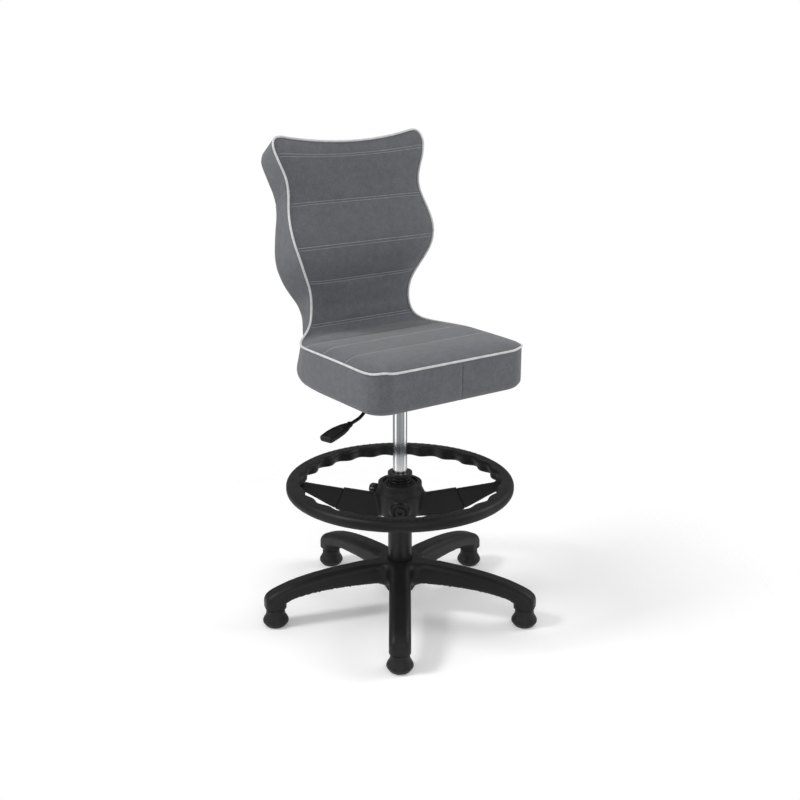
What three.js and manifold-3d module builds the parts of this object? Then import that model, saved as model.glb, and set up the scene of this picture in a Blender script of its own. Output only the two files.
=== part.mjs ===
// A children's swivel chair with a backrest, a gas lift, a foot ring and five glides.
// Millimetres, +Z up. The sitter faces -Y. The frame's origin is the middle of the
// footprint on the floor, and everything is first built around the column's axis.

import * as THREE from 'three';
import { mergeVertices } from 'three/addons/utils/BufferGeometryUtils.js';
import Module from 'manifold-3d';

const wasm = await Module();
wasm.setup();

// ---------------------------------------------------------------- driving dimensions

const gap = 0.3;                  // between pieces that touch

// Five-leg base
const legCount = 5;
const firstLegAngle = 90;         // degrees, one leg points straight back
const glideCircleRadius = 271;
const legWidth = 43;
const legRounding = 11;
const legTopHeight = 114;         // top of the hub
const legArchHeight = 68;         // underside of a leg near the hub
const legWall = 4.5;
const legTipOverhang = 25;        // from the glide's axis to the end of the leg
const hubRadius = 44;
const hubTopRadius = 33;
const hubBottomHeight = 52;

// Glides
const glideHeight = 40;
const glideRadius = 26.8;
const glideNeckRadius = 19;
const glideFootRadius = 21;
const glidePinRadius = 5.5;
const glidePinInLeg = 24;
const glidePinInGlide = 22;

// Column and gas lift
const columnRadius = 25;
const columnWall = 2;
const columnRaise = 2;            // from the hub's underside to the tube's lower end
const columnTopHeight = 284;
const columnFloor = 3;            // thickness of the tube's closed end
const bushingRise = 24;           // part of the bushing that stands out of the tube
const bushingLip = 0.6;           // how far its lip stands out past the tube
const bushingNeck = 1.4;          // how far its neck is set in from the tube
const bushingLength = 70;         // part inside the tube
const cylinderRadius = 14.8;
const cylinderOverlap = 103;      // part of the cylinder inside the column
const cylinderTaperLength = 38;   // the cone that sits in the seat plate
const cylinderTaperDrop = 1.4;
const cylinderWall = 2.6;
const cylinderEndWall = 10;
const cylinderHead = 53;          // solid part between the chamber and the valve
const rodRadius = 5;
const liftStroke = 120;
const bearingRadius = 16;
const raceThickness = 2;
const bearingCageThickness = 4;
const bumpStopRadius = 13;
const clipThickness = 2;
const pinRadius = 4;              // valve release pin on top of the cylinder
const pinStandOut = 4;
const pinDepth = 20;

// Foot ring
const ringOuterRadius = 236;
const ringWidth = 27;
const ringHeight = 25;
const ringCentreHeight = 280;
const ringScallops = 24;
const ringScallopDepth = 2.6;
const ringHubRadius = 45.5;
const ringHubFlare = 5;
const ringHubRise = 7;            // hub's top above the ring's middle
const ringHubLength = 73;
const ringRecessDepth = 9;
const ringRecessWidth = 7.5;
const ringRecessWall = 3.5;       // between the recess and the column
const ringArmThickness = 16;
const ringArmFall = 41;           // how far the arms' top comes down from the rim to the axis
const ringArmDepth = 53;          // how far their underside hangs below the rim
const ringArmJoint = 115;         // radius of the seam between hub arm and rim arm
const ringBossAngle = 234;        // degrees, halfway between the two arms
const ringBossRadius = 20;
const ringBossDrop = 42;          // below the ring's middle
const ringScrewRadius = 12.5;
const clampPinRadius = 4;
const ringKnobRadius = 11.5;
const ringKnobLength = 16;
const ringKnobOffset = 22;        // degrees from the first arm, towards the back
const ringKnobDrop = 18;

// Upholstered seat and back. The face is the side that the sitter touches, and
// heights on the backrest are counted from the edge of the sitting face.
const seatHalfWidth = 191;
const seatEdgeHeight = 581;
const seatThickness = 83;
const seatFrontY = -182;
const seatCorner = 44;
const bendStartY = 75;
const waistHalfWidth = 120.5;
const waistRise = 65;
const waistY = 135;
const lumbarHalfWidth = 171;
const lumbarRise = 216;
const lumbarFaceRise = 179;
const lumbarY = 108;
const neckHalfWidth = 158;
const neckRise = 298;
const neckY = 150;
const shoulderHalfWidth = 181;
const shoulderRise = 380;
const backTopRise = 404;
const backTopDip = 17;            // the top edge is lower in the middle
const backTopY = 178;
const sideSlope = 0.85;           // fall of the backrest's sides from the face to the rear
// Rear of the backrest from the waist to the top: y, and height above the face's edge.
const backRear = [[171, 21], [183, 65], [194, 120], [197, 170], [203, 240], [209, 290], [225, 352]];
const shellFront = 0.5;           // share of the thickness in front of the plywood
const shellRear = 0.62;
const shellInset = 8;
const creaseRise = 21;            // where the seat's cushion ends and the back's starts

// Seat plate and lever
const plateWidth = 190;
const plateDepth = 150;
const plateThickness = 3;
const plateCorner = 18;
const socketWall = 4.5;
const boltSpacingX = 150;
const boltSpacingY = 110;
const boltRadius = 3;
const boltHeadRadius = 6;
const boltHeadHeight = 4;
const teeNutRadius = 4.6;
const teeNutFlangeRadius = 9;
const leverRodRadius = 3.5;
const leverBushSlack = 0.6;       // lets the rod tip in its bush
const leverPivotX = -45;
const bushWall = 1.9;
const handleLength = 82;

// ---------------------------------------------------------------- heights that follow

const columnBottomHeight = hubBottomHeight + columnRaise;
const bushingTopHeight = columnTopHeight + bushingRise;
const seatBottomHeight = seatEdgeHeight - seatThickness;
const plateTopHeight = seatBottomHeight - 0.5;
const plateBottom = plateTopHeight - plateThickness;
const leverHeight = plateBottom - leverRodRadius - 5;
const cylinderBottomHeight = bushingTopHeight - cylinderOverlap;
const cylinderTopHeight = leverHeight - leverRodRadius - 0.5 - pinStandOut;
const cylinderTaperHeight = cylinderTopHeight - cylinderTaperLength;
const socketBottomHeight = cylinderTaperHeight + 2;

// ---------------------------------------------------------------- materials

function material(color, roughness, metalness = 0) {
  return new THREE.MeshStandardMaterial({ color, roughness, metalness });
}

const blackNylon = material(0x1f2022, 0.5);
const blackRubber = material(0x161617, 0.8);
const blackSteel = material(0x1b1c1e, 0.4, 0.6);
const chrome = material(0xc8c9cc, 0.12, 1);
const steel = material(0x8d9094, 0.35, 1);
const fabric = material(0x5b5d61, 0.95);
const plywood = material(0xb98f5f, 0.7);
const acetal = material(0xd9d8d2, 0.5);

// ---------------------------------------------------------------- helpers

const degree = Math.PI / 180;
const group = new THREE.Group();

// Turns a closed geometry into a solid that can be joined and cut.
function solid(geometry) {
  const plain = geometry.index ? geometry.toNonIndexed() : geometry.clone();
  plain.deleteAttribute('normal');
  plain.deleteAttribute('uv');
  const merged = mergeVertices(plain, 1e-4);
  const index = merged.index.array;
  const triangles = [];
  for (let i = 0; i < index.length; i += 3) {
    const [a, b, c] = [index[i], index[i + 1], index[i + 2]];
    if (a !== b && b !== c && c !== a) triangles.push(a, b, c);
  }
  return new wasm.Manifold(new wasm.Mesh({
    numProp: 3,
    vertProperties: new Float32Array(merged.attributes.position.array),
    triVerts: new Uint32Array(triangles),
  }));
}

function addMesh(name, body, look) {
  const { vertProperties, triVerts } = body.getMesh();
  const geometry = new THREE.BufferGeometry();
  geometry.setAttribute('position', new THREE.BufferAttribute(new Float32Array(vertProperties), 3));
  geometry.setIndex(new THREE.BufferAttribute(new Uint32Array(triVerts), 1));
  geometry.computeVertexNormals();
  const mesh = new THREE.Mesh(geometry, look);
  mesh.name = name;
  group.add(mesh);
  return mesh;
}

// Solid of revolution about Z. The outline is a list of [radius, height], going
// round the section counter-clockwise, and starts and ends on the axis or closes.
function turned(outline, segments = 36) {
  const points = outline.map(([radius, height]) => new THREE.Vector2(radius, height));
  const onAxis = points[0].x === 0 && points[points.length - 1].x === 0;
  if (!onAxis) points.push(points[0].clone());
  const geometry = new THREE.LatheGeometry(points, segments);
  geometry.rotateX(90 * degree);
  return solid(geometry);
}

function ring(innerRadius, outerRadius, bottom, top, segments = 32) {
  return turned([[innerRadius, bottom], [outerRadius, bottom], [outerRadius, top], [innerRadius, top]], segments);
}

function disc(radius, bottom, top, segments = 32) {
  return turned([[0, bottom], [radius, bottom], [radius, top], [0, top]], segments);
}

// Extrudes a flat outline drawn in X and Y from one height to another.
function upright(shape, bottom, top, curveSegments = 12) {
  const geometry = new THREE.ExtrudeGeometry(shape, { depth: top - bottom, bevelEnabled: false, curveSegments });
  geometry.translate(0, 0, bottom);
  return solid(geometry);
}

// Turns a geometry drawn in a side view (x = forward or outward, y = height), and
// extruded along its own z, into place: x becomes the given horizontal direction.
function sideways(geometry, angle) {
  geometry.rotateX(90 * degree);
  geometry.rotateZ(angle * degree);
  return solid(geometry);
}

function box(sizeX, sizeY, bottom, top, x = 0, y = 0) {
  const geometry = new THREE.BoxGeometry(sizeX, sizeY, top - bottom);
  geometry.translate(x, y, (bottom + top) / 2);
  return solid(geometry);
}

// A round bar between two points.
function bar(from, to, radius, segments = 20) {
  const along = new THREE.Vector3().subVectors(to, from);
  const geometry = new THREE.CylinderGeometry(radius, radius, along.length(), segments);
  geometry.translate(0, along.length() / 2, 0);
  geometry.applyQuaternion(new THREE.Quaternion().setFromUnitVectors(new THREE.Vector3(0, 1, 0), along.normalize()));
  geometry.translate(from.x, from.y, from.z);
  return solid(geometry);
}

function polar(radius, angle, height) {
  return new THREE.Vector3(radius * Math.cos(angle * degree), radius * Math.sin(angle * degree), height);
}

// ---------------------------------------------------------------- base and glides

const legTip = glideCircleRadius + legTipOverhang;
const legTipInner = glideCircleRadius - legWidth / 2;

// Side view of a leg. The lower end runs on below the glide so that it can be cut flat.
function legOutline(inset) {
  const top = legTopHeight - inset;
  const end = legTip - inset;
  const low = glideHeight - legRounding - 1;
  const shape = new THREE.Shape();
  shape.moveTo(0, hubBottomHeight);
  shape.lineTo(0.8 * hubRadius, hubBottomHeight);
  shape.quadraticCurveTo(hubRadius, legArchHeight - 2, 1.7 * hubRadius, legArchHeight);
  shape.bezierCurveTo(0.62 * legTipInner, legArchHeight + 4, 0.9 * legTipInner, legArchHeight - 3, legTipInner, 50);
  shape.lineTo(legTipInner, low);
  shape.lineTo(end, low);
  shape.lineTo(end, glideHeight + 14);
  shape.bezierCurveTo(end, top - 42, 0.93 * end, top - 35, 0.82 * end, top - 24);
  shape.bezierCurveTo(0.65 * end, top - 11, 0.5 * end, top - 6, 0.28 * end, top - 1);
  shape.lineTo(0, top);
  return shape;
}

function leg() {
  const rounding = legRounding;
  const geometry = new THREE.ExtrudeGeometry(legOutline(0), {
    depth: legWidth - 2 * rounding,
    bevelEnabled: true,
    bevelThickness: rounding,
    bevelSize: rounding,
    bevelOffset: -rounding,
    bevelSegments: 3,
    curveSegments: 5,
  });
  geometry.translate(0, 0, rounding - legWidth / 2);
  const body = sideways(geometry, 0);
  return body.subtract(box(2 * legTip, 2 * legWidth, -glideHeight, glideHeight, legTip, 0));
}

// The hollow under a leg: three cells between cross ribs.
function legCells() {
  const rib = 4;
  const start = hubRadius + rib;
  const end = legTipInner - legWall;
  const cellLength = (end - start - 2 * rib) / 3;
  const width = legWidth - 2 * legWall - 4;
  const hollow = new THREE.ExtrudeGeometry(legOutline(legWall + 3), {
    depth: width, bevelEnabled: false, curveSegments: 3,
  });
  hollow.translate(0, 0, -width / 2);
  const inside = sideways(hollow, 0).add(box(2 * legTip, width, hubBottomHeight, legArchHeight + 4));
  let cells = null;
  for (let i = 0; i < 3; i += 1) {
    const x = start + cellLength / 2 + i * (cellLength + rib);
    const cell = box(cellLength, width, 30, legTopHeight, x, 0).intersect(inside);
    cells = cells ? cells.add(cell) : cell;
  }
  return cells;
}

function makeBase() {
  const hub = turned([
    [0, hubBottomHeight], [hubRadius - 6, hubBottomHeight], [hubRadius, legArchHeight - 8],
    [hubRadius, legTopHeight - 16], [hubRadius - 3, legTopHeight - 7],
    [hubTopRadius, legTopHeight], [0, legTopHeight],
  ], 40);
  const pinHole = disc(glidePinRadius + gap, glideHeight - 5, glideHeight + glidePinInLeg + gap, 24)
    .translate([glideCircleRadius, 0, 0]);
  const oneLeg = leg().subtract(legCells()).subtract(pinHole);
  let star = hub;
  for (let i = 0; i < legCount; i += 1) {
    star = star.add(oneLeg.rotate([0, 0, firstLegAngle + i * 360 / legCount]));
  }
  const socket = disc(columnRadius + gap, hubBottomHeight - 5, legTopHeight + 5, 40);
  addMesh('base_star', star.subtract(socket), blackNylon);
}

function makeGlides() {
  const bell = turned([
    [0, 0], [glideFootRadius, 0], [glideRadius, 9], [glideRadius, 13],
    [glideNeckRadius, 27], [glideNeckRadius, glideHeight - gap],
    [glidePinRadius + gap, glideHeight - gap], [glidePinRadius + gap, glideHeight - glidePinInGlide - gap],
    [0, glideHeight - glidePinInGlide - gap],
  ], 24);
  const pin = disc(glidePinRadius, glideHeight - glidePinInGlide, glideHeight + glidePinInLeg, 24);
  for (let i = 0; i < legCount; i += 1) {
    const place = polar(glideCircleRadius, firstLegAngle + i * 360 / legCount, 0).toArray();
    addMesh(`glide_${i + 1}`, bell.translate(place), blackNylon);
    addMesh(`glide_pin_${i + 1}`, pin.translate(place), steel);
  }
}

// ---------------------------------------------------------------- column and gas lift

const rodHoleRadius = rodRadius + gap;
const bearingBottom = columnBottomHeight + columnFloor + gap;
const cageBottom = bearingBottom + raceThickness + gap;
const upperRaceBottom = cageBottom + bearingCageThickness + gap;
const bumpStopBottom = upperRaceBottom + raceThickness + gap;
const bumpStopTop = cylinderBottomHeight - liftStroke - 1;
const washerTop = columnBottomHeight - gap;
const clipTop = washerTop - raceThickness - gap;
const rodBottom = clipTop - clipThickness - 3;
const pistonBottom = cylinderBottomHeight + cylinderEndWall + 2;
const pistonThickness = 9;
const rodTop = pistonBottom + pistonThickness + 3;

function makeColumn() {
  const inner = columnRadius - columnWall;
  addMesh('column_tube', turned([
    [rodHoleRadius + 2, columnBottomHeight], [columnRadius, columnBottomHeight],
    [columnRadius, columnTopHeight], [inner, columnTopHeight],
    [inner, columnBottomHeight + columnFloor], [rodHoleRadius + 2, columnBottomHeight + columnFloor],
  ], 40), blackSteel);

  const bore = cylinderRadius + gap;
  const neckRadius = columnRadius - bushingNeck;
  const neckBottom = columnTopHeight + gap;
  const lipBottom = bushingTopHeight - 6;
  const grooves = [];
  const grooveCount = 2;
  const groovePitch = (lipBottom - neckBottom) / grooveCount;
  for (let i = 0; i < grooveCount; i += 1) {
    const low = neckBottom + i * groovePitch;
    grooves.push([neckRadius, low], [neckRadius, low + 0.6 * groovePitch]);
    grooves.push([neckRadius - 1.6, low + 0.7 * groovePitch], [neckRadius - 1.6, low + 0.9 * groovePitch]);
  }
  addMesh('guide_bushing', turned([
    [bore, columnTopHeight - bushingLength], [inner - gap, columnTopHeight - bushingLength],
    [inner - gap, neckBottom], ...grooves,
    [columnRadius + bushingLip - 1, lipBottom], [columnRadius + bushingLip, lipBottom + 1],
    [columnRadius + bushingLip, bushingTopHeight - 1.5], [columnRadius + bushingLip - 1.5, bushingTopHeight],
    [bore, bushingTopHeight],
  ], 32), blackNylon);

  addMesh('bearing_lower_race', ring(rodHoleRadius + 1, bearingRadius, bearingBottom,
    bearingBottom + raceThickness), steel);
  addMesh('bearing_cage', ring(rodHoleRadius + 1, bearingRadius - 1, cageBottom,
    cageBottom + bearingCageThickness), acetal);
  addMesh('bearing_upper_race', ring(rodHoleRadius + 1, bearingRadius, upperRaceBottom,
    upperRaceBottom + raceThickness), steel);
  addMesh('bump_stop', ring(rodHoleRadius, bumpStopRadius, bumpStopBottom, bumpStopTop, 32), blackRubber);
  addMesh('rod_washer', ring(rodHoleRadius, bearingRadius, washerTop - raceThickness, washerTop, 32), steel);
  addMesh('rod_clip', ring(rodRadius - 1 + gap, rodRadius + 6, clipTop - clipThickness, clipTop, 24), steel);
  addMesh('piston_rod', turned([
    [0, rodBottom], [rodRadius - 1, rodBottom], [rodRadius, rodBottom + 1],
    [rodRadius, clipTop - clipThickness - gap], [rodRadius - 1, clipTop - clipThickness - gap],
    [rodRadius - 1, clipTop + gap], [rodRadius, clipTop + gap], [rodRadius, rodTop], [0, rodTop],
  ], 24), steel);
  addMesh('piston', ring(rodHoleRadius, cylinderRadius - cylinderWall - gap, pistonBottom,
    pistonBottom + pistonThickness, 40), acetal);
}

const taperTopRadius = cylinderRadius - cylinderTaperDrop;

function makeCylinder() {
  const chamberRadius = cylinderRadius - cylinderWall;
  const chamberBottom = cylinderBottomHeight + cylinderEndWall;
  const chamberTop = cylinderTopHeight - pinDepth - cylinderHead;
  const pinHoleRadius = pinRadius + gap;
  const body = turned([
    [0, chamberTop], [chamberRadius, chamberTop],
    [chamberRadius, chamberBottom], [rodHoleRadius, chamberBottom],
    [rodHoleRadius, cylinderBottomHeight], [cylinderRadius - 1.5, cylinderBottomHeight],
    [cylinderRadius, cylinderBottomHeight + 1.5], [cylinderRadius, cylinderTaperHeight],
    [taperTopRadius, cylinderTopHeight], [pinHoleRadius, cylinderTopHeight],
    [pinHoleRadius, cylinderTopHeight - pinDepth], [0, cylinderTopHeight - pinDepth],
  ], 36);
  addMesh('gas_cylinder', body, chrome);
  addMesh('release_pin', disc(pinRadius, cylinderTopHeight - pinDepth + 4, cylinderTopHeight + pinStandOut, 24), steel);
}

// ---------------------------------------------------------------- foot ring

const rimInner = ringOuterRadius - ringWidth;
const rimTop = ringCentreHeight + ringHeight / 2;
const rimBottom = ringCentreHeight - ringHeight / 2;

// The rim: a rounded section, with grip scallops cut into its inner side.
function rim() {
  const outline = [];
  const radius = 9;
  const corners = [
    [rimInner + 6, rimBottom + 6, 180, 6], [ringOuterRadius - radius, rimBottom + radius, 270, radius],
    [ringOuterRadius - radius, rimTop - radius, 0, radius], [rimInner + 6, rimTop - 6, 90, 6],
  ];
  for (const [x, z, start, round] of corners) {
    for (let i = 0; i <= 2; i += 1) {
      const angle = (start + i * 45) * degree;
      outline.push([x + round * Math.cos(angle), z + round * Math.sin(angle)]);
    }
  }
  const scallopSteps = 3 * ringScallops;
  const hole = new THREE.Shape();
  for (let i = 0; i < scallopSteps; i += 1) {
    const angle = (i / scallopSteps) * 2 * Math.PI;
    const radial = rimInner + ringScallopDepth * (1 + Math.sin(ringScallops * angle));
    hole[i ? 'lineTo' : 'moveTo'](radial * Math.cos(angle), radial * Math.sin(angle));
  }
  return turned(outline, 72).subtract(upright(hole, rimBottom - 5, rimTop + 5));
}

// Side view of one arm between two radii. It is deepest at the hub.
function armOutline(from, to) {
  const top = (radius) => rimTop - ringArmFall * Math.pow((ringOuterRadius - radius) / ringOuterRadius, 0.9);
  const bottom = (radius) => rimBottom - ringArmDepth * Math.sin(Math.min(1, (rimInner - radius) / 130) * 90 * degree);
  const steps = 6;
  const shape = new THREE.Shape();
  shape.moveTo(from, top(from));
  for (let i = 1; i <= steps; i += 1) {
    const radius = from + (to - from) * i / steps;
    shape.lineTo(radius, top(radius));
  }
  for (let i = steps; i >= 0; i -= 1) {
    const radius = from + (to - from) * i / steps;
    shape.lineTo(radius, bottom(radius));
  }
  return shape;
}

function arm(from, to, thickness, angle) {
  const geometry = new THREE.ExtrudeGeometry(armOutline(from, to), {
    depth: thickness - 4, bevelEnabled: true, bevelThickness: 2, bevelSize: 2, bevelOffset: -2, bevelSegments: 2,
  });
  geometry.translate(0, 0, 2 - thickness / 2);
  return sideways(geometry, angle);
}

const armAngles = [ringBossAngle - 90, ringBossAngle + 90];
const knobAngle = armAngles[0] - ringKnobOffset;
const knobHeight = ringCentreHeight - ringKnobDrop;
const bossHeight = ringCentreHeight - ringBossDrop;
const hubRingTop = ringCentreHeight + ringHubRise;
const hubRingBottom = hubRingTop - ringHubLength;

// A solid drawn along +X from the column's axis, turned to an angle and lifted.
function radial(body, angle, height) {
  return body.rotate([0, 90, 0]).rotate([0, 0, angle]).translate([0, 0, height]);
}

function makeFootRing() {
  const rimArms = armAngles.map((angle) => arm(ringArmJoint + gap, rimInner + ringScallopDepth + 8,
    ringArmThickness - 3, angle));
  addMesh('foot_ring', rim().add(rimArms[0]).add(rimArms[1]), blackNylon);

  const flareHeight = hubRingTop - 21;
  let hub = turned([
    [0, hubRingBottom], [ringHubRadius - 6, hubRingBottom], [ringHubRadius - 3, hubRingBottom + 3],
    [ringHubRadius + ringHubFlare, flareHeight - 4], [ringHubRadius + ringHubFlare - 1, flareHeight],
    [ringHubRadius, flareHeight + 6], [ringHubRadius, hubRingTop - 1.5],
    [ringHubRadius - 1.5, hubRingTop], [0, hubRingTop],
  ], 40);
  for (const angle of armAngles) {
    hub = hub.add(arm(ringHubRadius - 8, ringArmJoint, ringArmThickness, angle));
  }
  const bossReach = ringHubRadius + 15;
  hub = hub.add(radial(turned([
    [0, 30], [ringBossRadius, 30], [ringBossRadius, bossReach - 3], [ringBossRadius - 3, bossReach], [0, bossReach],
  ], 36), ringBossAngle, bossHeight));
  hub = hub.add(radial(disc(9, 30, ringHubRadius + 6, 24), knobAngle, knobHeight));
  const recessInner = columnRadius + ringRecessWall;
  hub = hub.subtract(ring(recessInner, recessInner + ringRecessWidth, hubRingTop - ringRecessDepth,
    hubRingTop + 5, 40));
  hub = hub.subtract(disc(columnRadius + gap, hubRingBottom - 5, hubRingTop + 5, 40));
  hub = hub.subtract(radial(disc(ringScrewRadius + gap, bossReach - 9, bossReach + 5, 32), ringBossAngle, bossHeight));
  hub = hub.subtract(radial(disc(4 + gap, columnRadius - 2, bossReach, 24), ringBossAngle, bossHeight));
  hub = hub.subtract(radial(disc(4 + gap, columnRadius - 2, ringHubRadius + 12, 24), knobAngle, knobHeight));
  addMesh('ring_hub', hub, blackNylon);

  const screwHead = turned([
    [0, bossReach - 9 + gap], [ringScrewRadius, bossReach - 9 + gap], [ringScrewRadius, bossReach - 2],
    [ringScrewRadius - 2, bossReach], [4, bossReach], [4, bossReach - 4], [0, bossReach - 4],
  ], 32);
  const screw = screwHead.add(disc(4, columnRadius + 4, bossReach - 6, 20));
  addMesh('ring_clamp_screw', radial(screw, ringBossAngle, bossHeight), blackSteel);
  addMesh('ring_clamp_shoe', radial(disc(4, columnRadius + gap, columnRadius + 4 - gap, 20), ringBossAngle, bossHeight),
    acetal);

  const knobStart = ringHubRadius + 6 + gap;
  const lobes = new THREE.Shape();
  const lobeSteps = 48;
  for (let i = 0; i < lobeSteps; i += 1) {
    const angle = (i / lobeSteps) * 2 * Math.PI;
    const reach = ringKnobRadius - 1 + Math.cos(6 * angle);
    lobes[i ? 'lineTo' : 'moveTo'](reach * Math.cos(angle), reach * Math.sin(angle));
  }
  const knob = upright(lobes, knobStart, knobStart + ringKnobLength)
    .add(disc(4, columnRadius + gap, knobStart + 5, 20));
  addMesh('ring_knob', radial(knob, knobAngle, knobHeight), blackNylon);
}

// ---------------------------------------------------------------- seat plate and lever

// Points of the bent lever, from the pivot outwards: x, y and drop below the pivot.
const leverPoint = (x, y, drop) => new THREE.Vector3(leverPivotX + x, y, leverHeight - drop);
const handleStart = leverPoint(-101, -44, 33);
const handleEnd = leverPoint(-101 - 0.94 * handleLength, -66, 47);

function roundedRectangle(width, depth, corner) {
  const shape = new THREE.Shape();
  const x = width / 2;
  const y = depth / 2;
  shape.moveTo(-x + corner, -y);
  shape.lineTo(x - corner, -y);
  shape.absarc(x - corner, -y + corner, corner, -90 * degree, 0);
  shape.lineTo(x, y - corner);
  shape.absarc(x - corner, y - corner, corner, 0, 90 * degree);
  shape.lineTo(-x + corner, y);
  shape.absarc(-x + corner, y - corner, corner, 90 * degree, 180 * degree);
  shape.lineTo(-x, -y + corner);
  shape.absarc(-x + corner, -y + corner, corner, 180 * degree, 270 * degree);
  return shape;
}

function makeSeatPlate() {
  const socketRadius = cylinderRadius + gap + socketWall;
  let plate = upright(roundedRectangle(plateWidth, plateDepth, plateCorner), plateBottom, plateTopHeight, 6);
  plate = plate.add(disc(socketRadius, socketBottomHeight, plateBottom + 1, 48));
  for (const side of [-1, 1]) {
    const gusset = new THREE.Shape();
    gusset.moveTo(socketRadius - 2, socketBottomHeight + 12);
    gusset.lineTo(plateDepth / 2 - 6, plateBottom - 6);
    gusset.lineTo(plateDepth / 2 - 6, plateBottom + 1);
    gusset.lineTo(socketRadius - 2, plateBottom + 1);
    const web = new THREE.ExtrudeGeometry(gusset, { depth: 4, bevelEnabled: false });
    web.translate(0, 0, -2);
    plate = plate.add(sideways(web, side * 90));
  }
  plate = plate.add(box(6, 16, leverHeight - 9, plateBottom + 1, leverPivotX, 0));
  const boreHeight = plateBottom - 2;
  const slope = cylinderTaperDrop / (cylinderTopHeight - cylinderTaperHeight);
  const boreRadius = (height) => cylinderRadius + gap - slope * Math.max(0, height - cylinderTaperHeight);
  plate = plate.subtract(turned([
    [0, socketBottomHeight - 5], [boreRadius(cylinderTaperHeight), socketBottomHeight - 5],
    [boreRadius(cylinderTaperHeight), cylinderTaperHeight], [boreRadius(boreHeight), boreHeight], [0, boreHeight],
  ], 48));
  const window = bar(new THREE.Vector3(leverPivotX - 20, 0, leverHeight), new THREE.Vector3(0, 0, leverHeight),
    leverRodRadius + bushWall + gap, 24);
  plate = plate.subtract(window);
  for (const x of [-1, 1]) {
    for (const y of [-1, 1]) {
      plate = plate.subtract(disc(boltRadius + gap, plateBottom - 5, plateTopHeight + 5, 20)
        .translate([x * boltSpacingX / 2, y * boltSpacingY / 2, 0]));
    }
  }
  addMesh('seat_plate', plate, blackSteel);
}

function makeLever() {
  const bush = ring(leverRodRadius + leverBushSlack, leverRodRadius + bushWall, -4, 4, 24).rotate([0, 90, 0]);
  addMesh('lever_bush', bush.translate([leverPivotX, 0, leverHeight]), acetal);

  const along = new THREE.Vector3().subVectors(handleEnd, handleStart).normalize();
  const across = new THREE.Vector3().crossVectors(new THREE.Vector3(0, 0, 1), along).normalize();
  const up = new THREE.Vector3().crossVectors(along, across);
  const onHandle = (distance) => handleStart.clone().addScaledVector(along, distance);
  const rodInHandle = 0.45 * handleLength;
  const route = new THREE.CatmullRomCurve3([
    new THREE.Vector3(pinRadius + 2, 0, leverHeight), leverPoint(0, 0, 0), leverPoint(-12, 0, 0),
    leverPoint(-52, -22, 19), leverPoint(-77, -35, 29), onHandle(-6), onHandle(rodInHandle),
  ], false, 'centripetal');
  const section = new THREE.Shape();
  section.absarc(0, 0, leverRodRadius, 0, 2 * Math.PI);
  const rod = new THREE.ExtrudeGeometry(section, { steps: 30, curveSegments: 6, extrudePath: route });
  addMesh('lever_rod', solid(rod), blackSteel);

  const paddle = new THREE.Shape();
  paddle.moveTo(0, -6);
  paddle.bezierCurveTo(handleLength * 0.3, -8, handleLength * 0.35, -17, handleLength * 0.6, -17);
  paddle.lineTo(handleLength, -15);
  paddle.lineTo(handleLength, 15);
  paddle.lineTo(handleLength * 0.6, 17);
  paddle.bezierCurveTo(handleLength * 0.35, 17, handleLength * 0.3, 8, 0, 6);
  const thickness = 13;
  const geometry = new THREE.ExtrudeGeometry(paddle, {
    depth: thickness - 5, bevelEnabled: true, bevelThickness: 2.5, bevelSize: 2.5, bevelOffset: -2.5,
    bevelSegments: 2, curveSegments: 6,
  });
  geometry.translate(0, 0, 2.5 - thickness / 2);
  const place = new THREE.Matrix4().makeBasis(along, across, up).setPosition(handleStart);
  geometry.applyMatrix4(place);
  const pocket = bar(onHandle(-10), onHandle(rodInHandle + gap), leverRodRadius + 2 * gap);
  addMesh('lever_handle', solid(geometry).subtract(pocket), blackNylon);
}

// ---------------------------------------------------------------- upholstery

// Side view of the upholstery, drawn in y and height, in three stretches: the seat, the
// bend and the backrest. The bend runs from the seat's height to the backrest's first point.
function sideView(seatHeight, backrest, bendDepth) {
  const bendStart = new THREE.Vector2(bendStartY, seatHeight);
  const waist = backrest[0];
  const level = new THREE.Vector2(waist.x - bendDepth, seatHeight);
  const steep = new THREE.Vector2(waist.x, seatHeight + bendDepth);
  return [
    new THREE.LineCurve(new THREE.Vector2(seatFrontY, seatHeight), bendStart),
    new THREE.CubicBezierCurve(bendStart, level, steep, waist),
    new THREE.SplineCurve(backrest),
  ];
}

const stretchSteps = [3, 9, 18];

// The same number of points down the face and down the rear side, in pairs.
function sidePoints(stretches) {
  const points = [];
  stretches.forEach((curve, number) => {
    const first = number === 0 ? 0 : 1;
    for (let i = first; i <= stretchSteps[number]; i += 1) {
      points.push(curve.getPoint(i / stretchSteps[number]));
    }
  });
  return points;
}

const aboveEdge = ([y, rise]) => new THREE.Vector2(y, seatEdgeHeight + rise);

const backFace = [
  [waistY, waistRise], [waistY - 8, waistRise + 46], [lumbarY, lumbarFaceRise],
  [(lumbarY + neckY) / 2 - 4, lumbarFaceRise + 52], [neckY, neckRise - 8], [neckY + 5, neckRise + 38],
  [backTopY, backTopRise],
];

const facePoints = sidePoints(sideView(seatEdgeHeight, backFace.map(aboveEdge), 10));
const rearPoints = sidePoints(sideView(seatBottomHeight, backRear.map(aboveEdge), 36));

// A band of the section, between two shares of the thickness, across the full width.
function band(front, rear, frontGap, rearGap) {
  const pick = (share, shift) => facePoints.map((face, i) => {
    const across = rearPoints[i].clone().sub(face);
    const distance = share * across.length() + shift;
    return face.clone().add(across.normalize().multiplyScalar(distance));
  });
  const shape = new THREE.Shape([...pick(front, frontGap), ...pick(rear, -rearGap).reverse()]);
  const width = 2 * seatHalfWidth + 20;
  const geometry = new THREE.ExtrudeGeometry(shape, { depth: width, bevelEnabled: false });
  geometry.translate(0, 0, -width / 2);
  return sideways(geometry, 90);
}

const creaseHeight = seatEdgeHeight + creaseRise;

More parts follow.
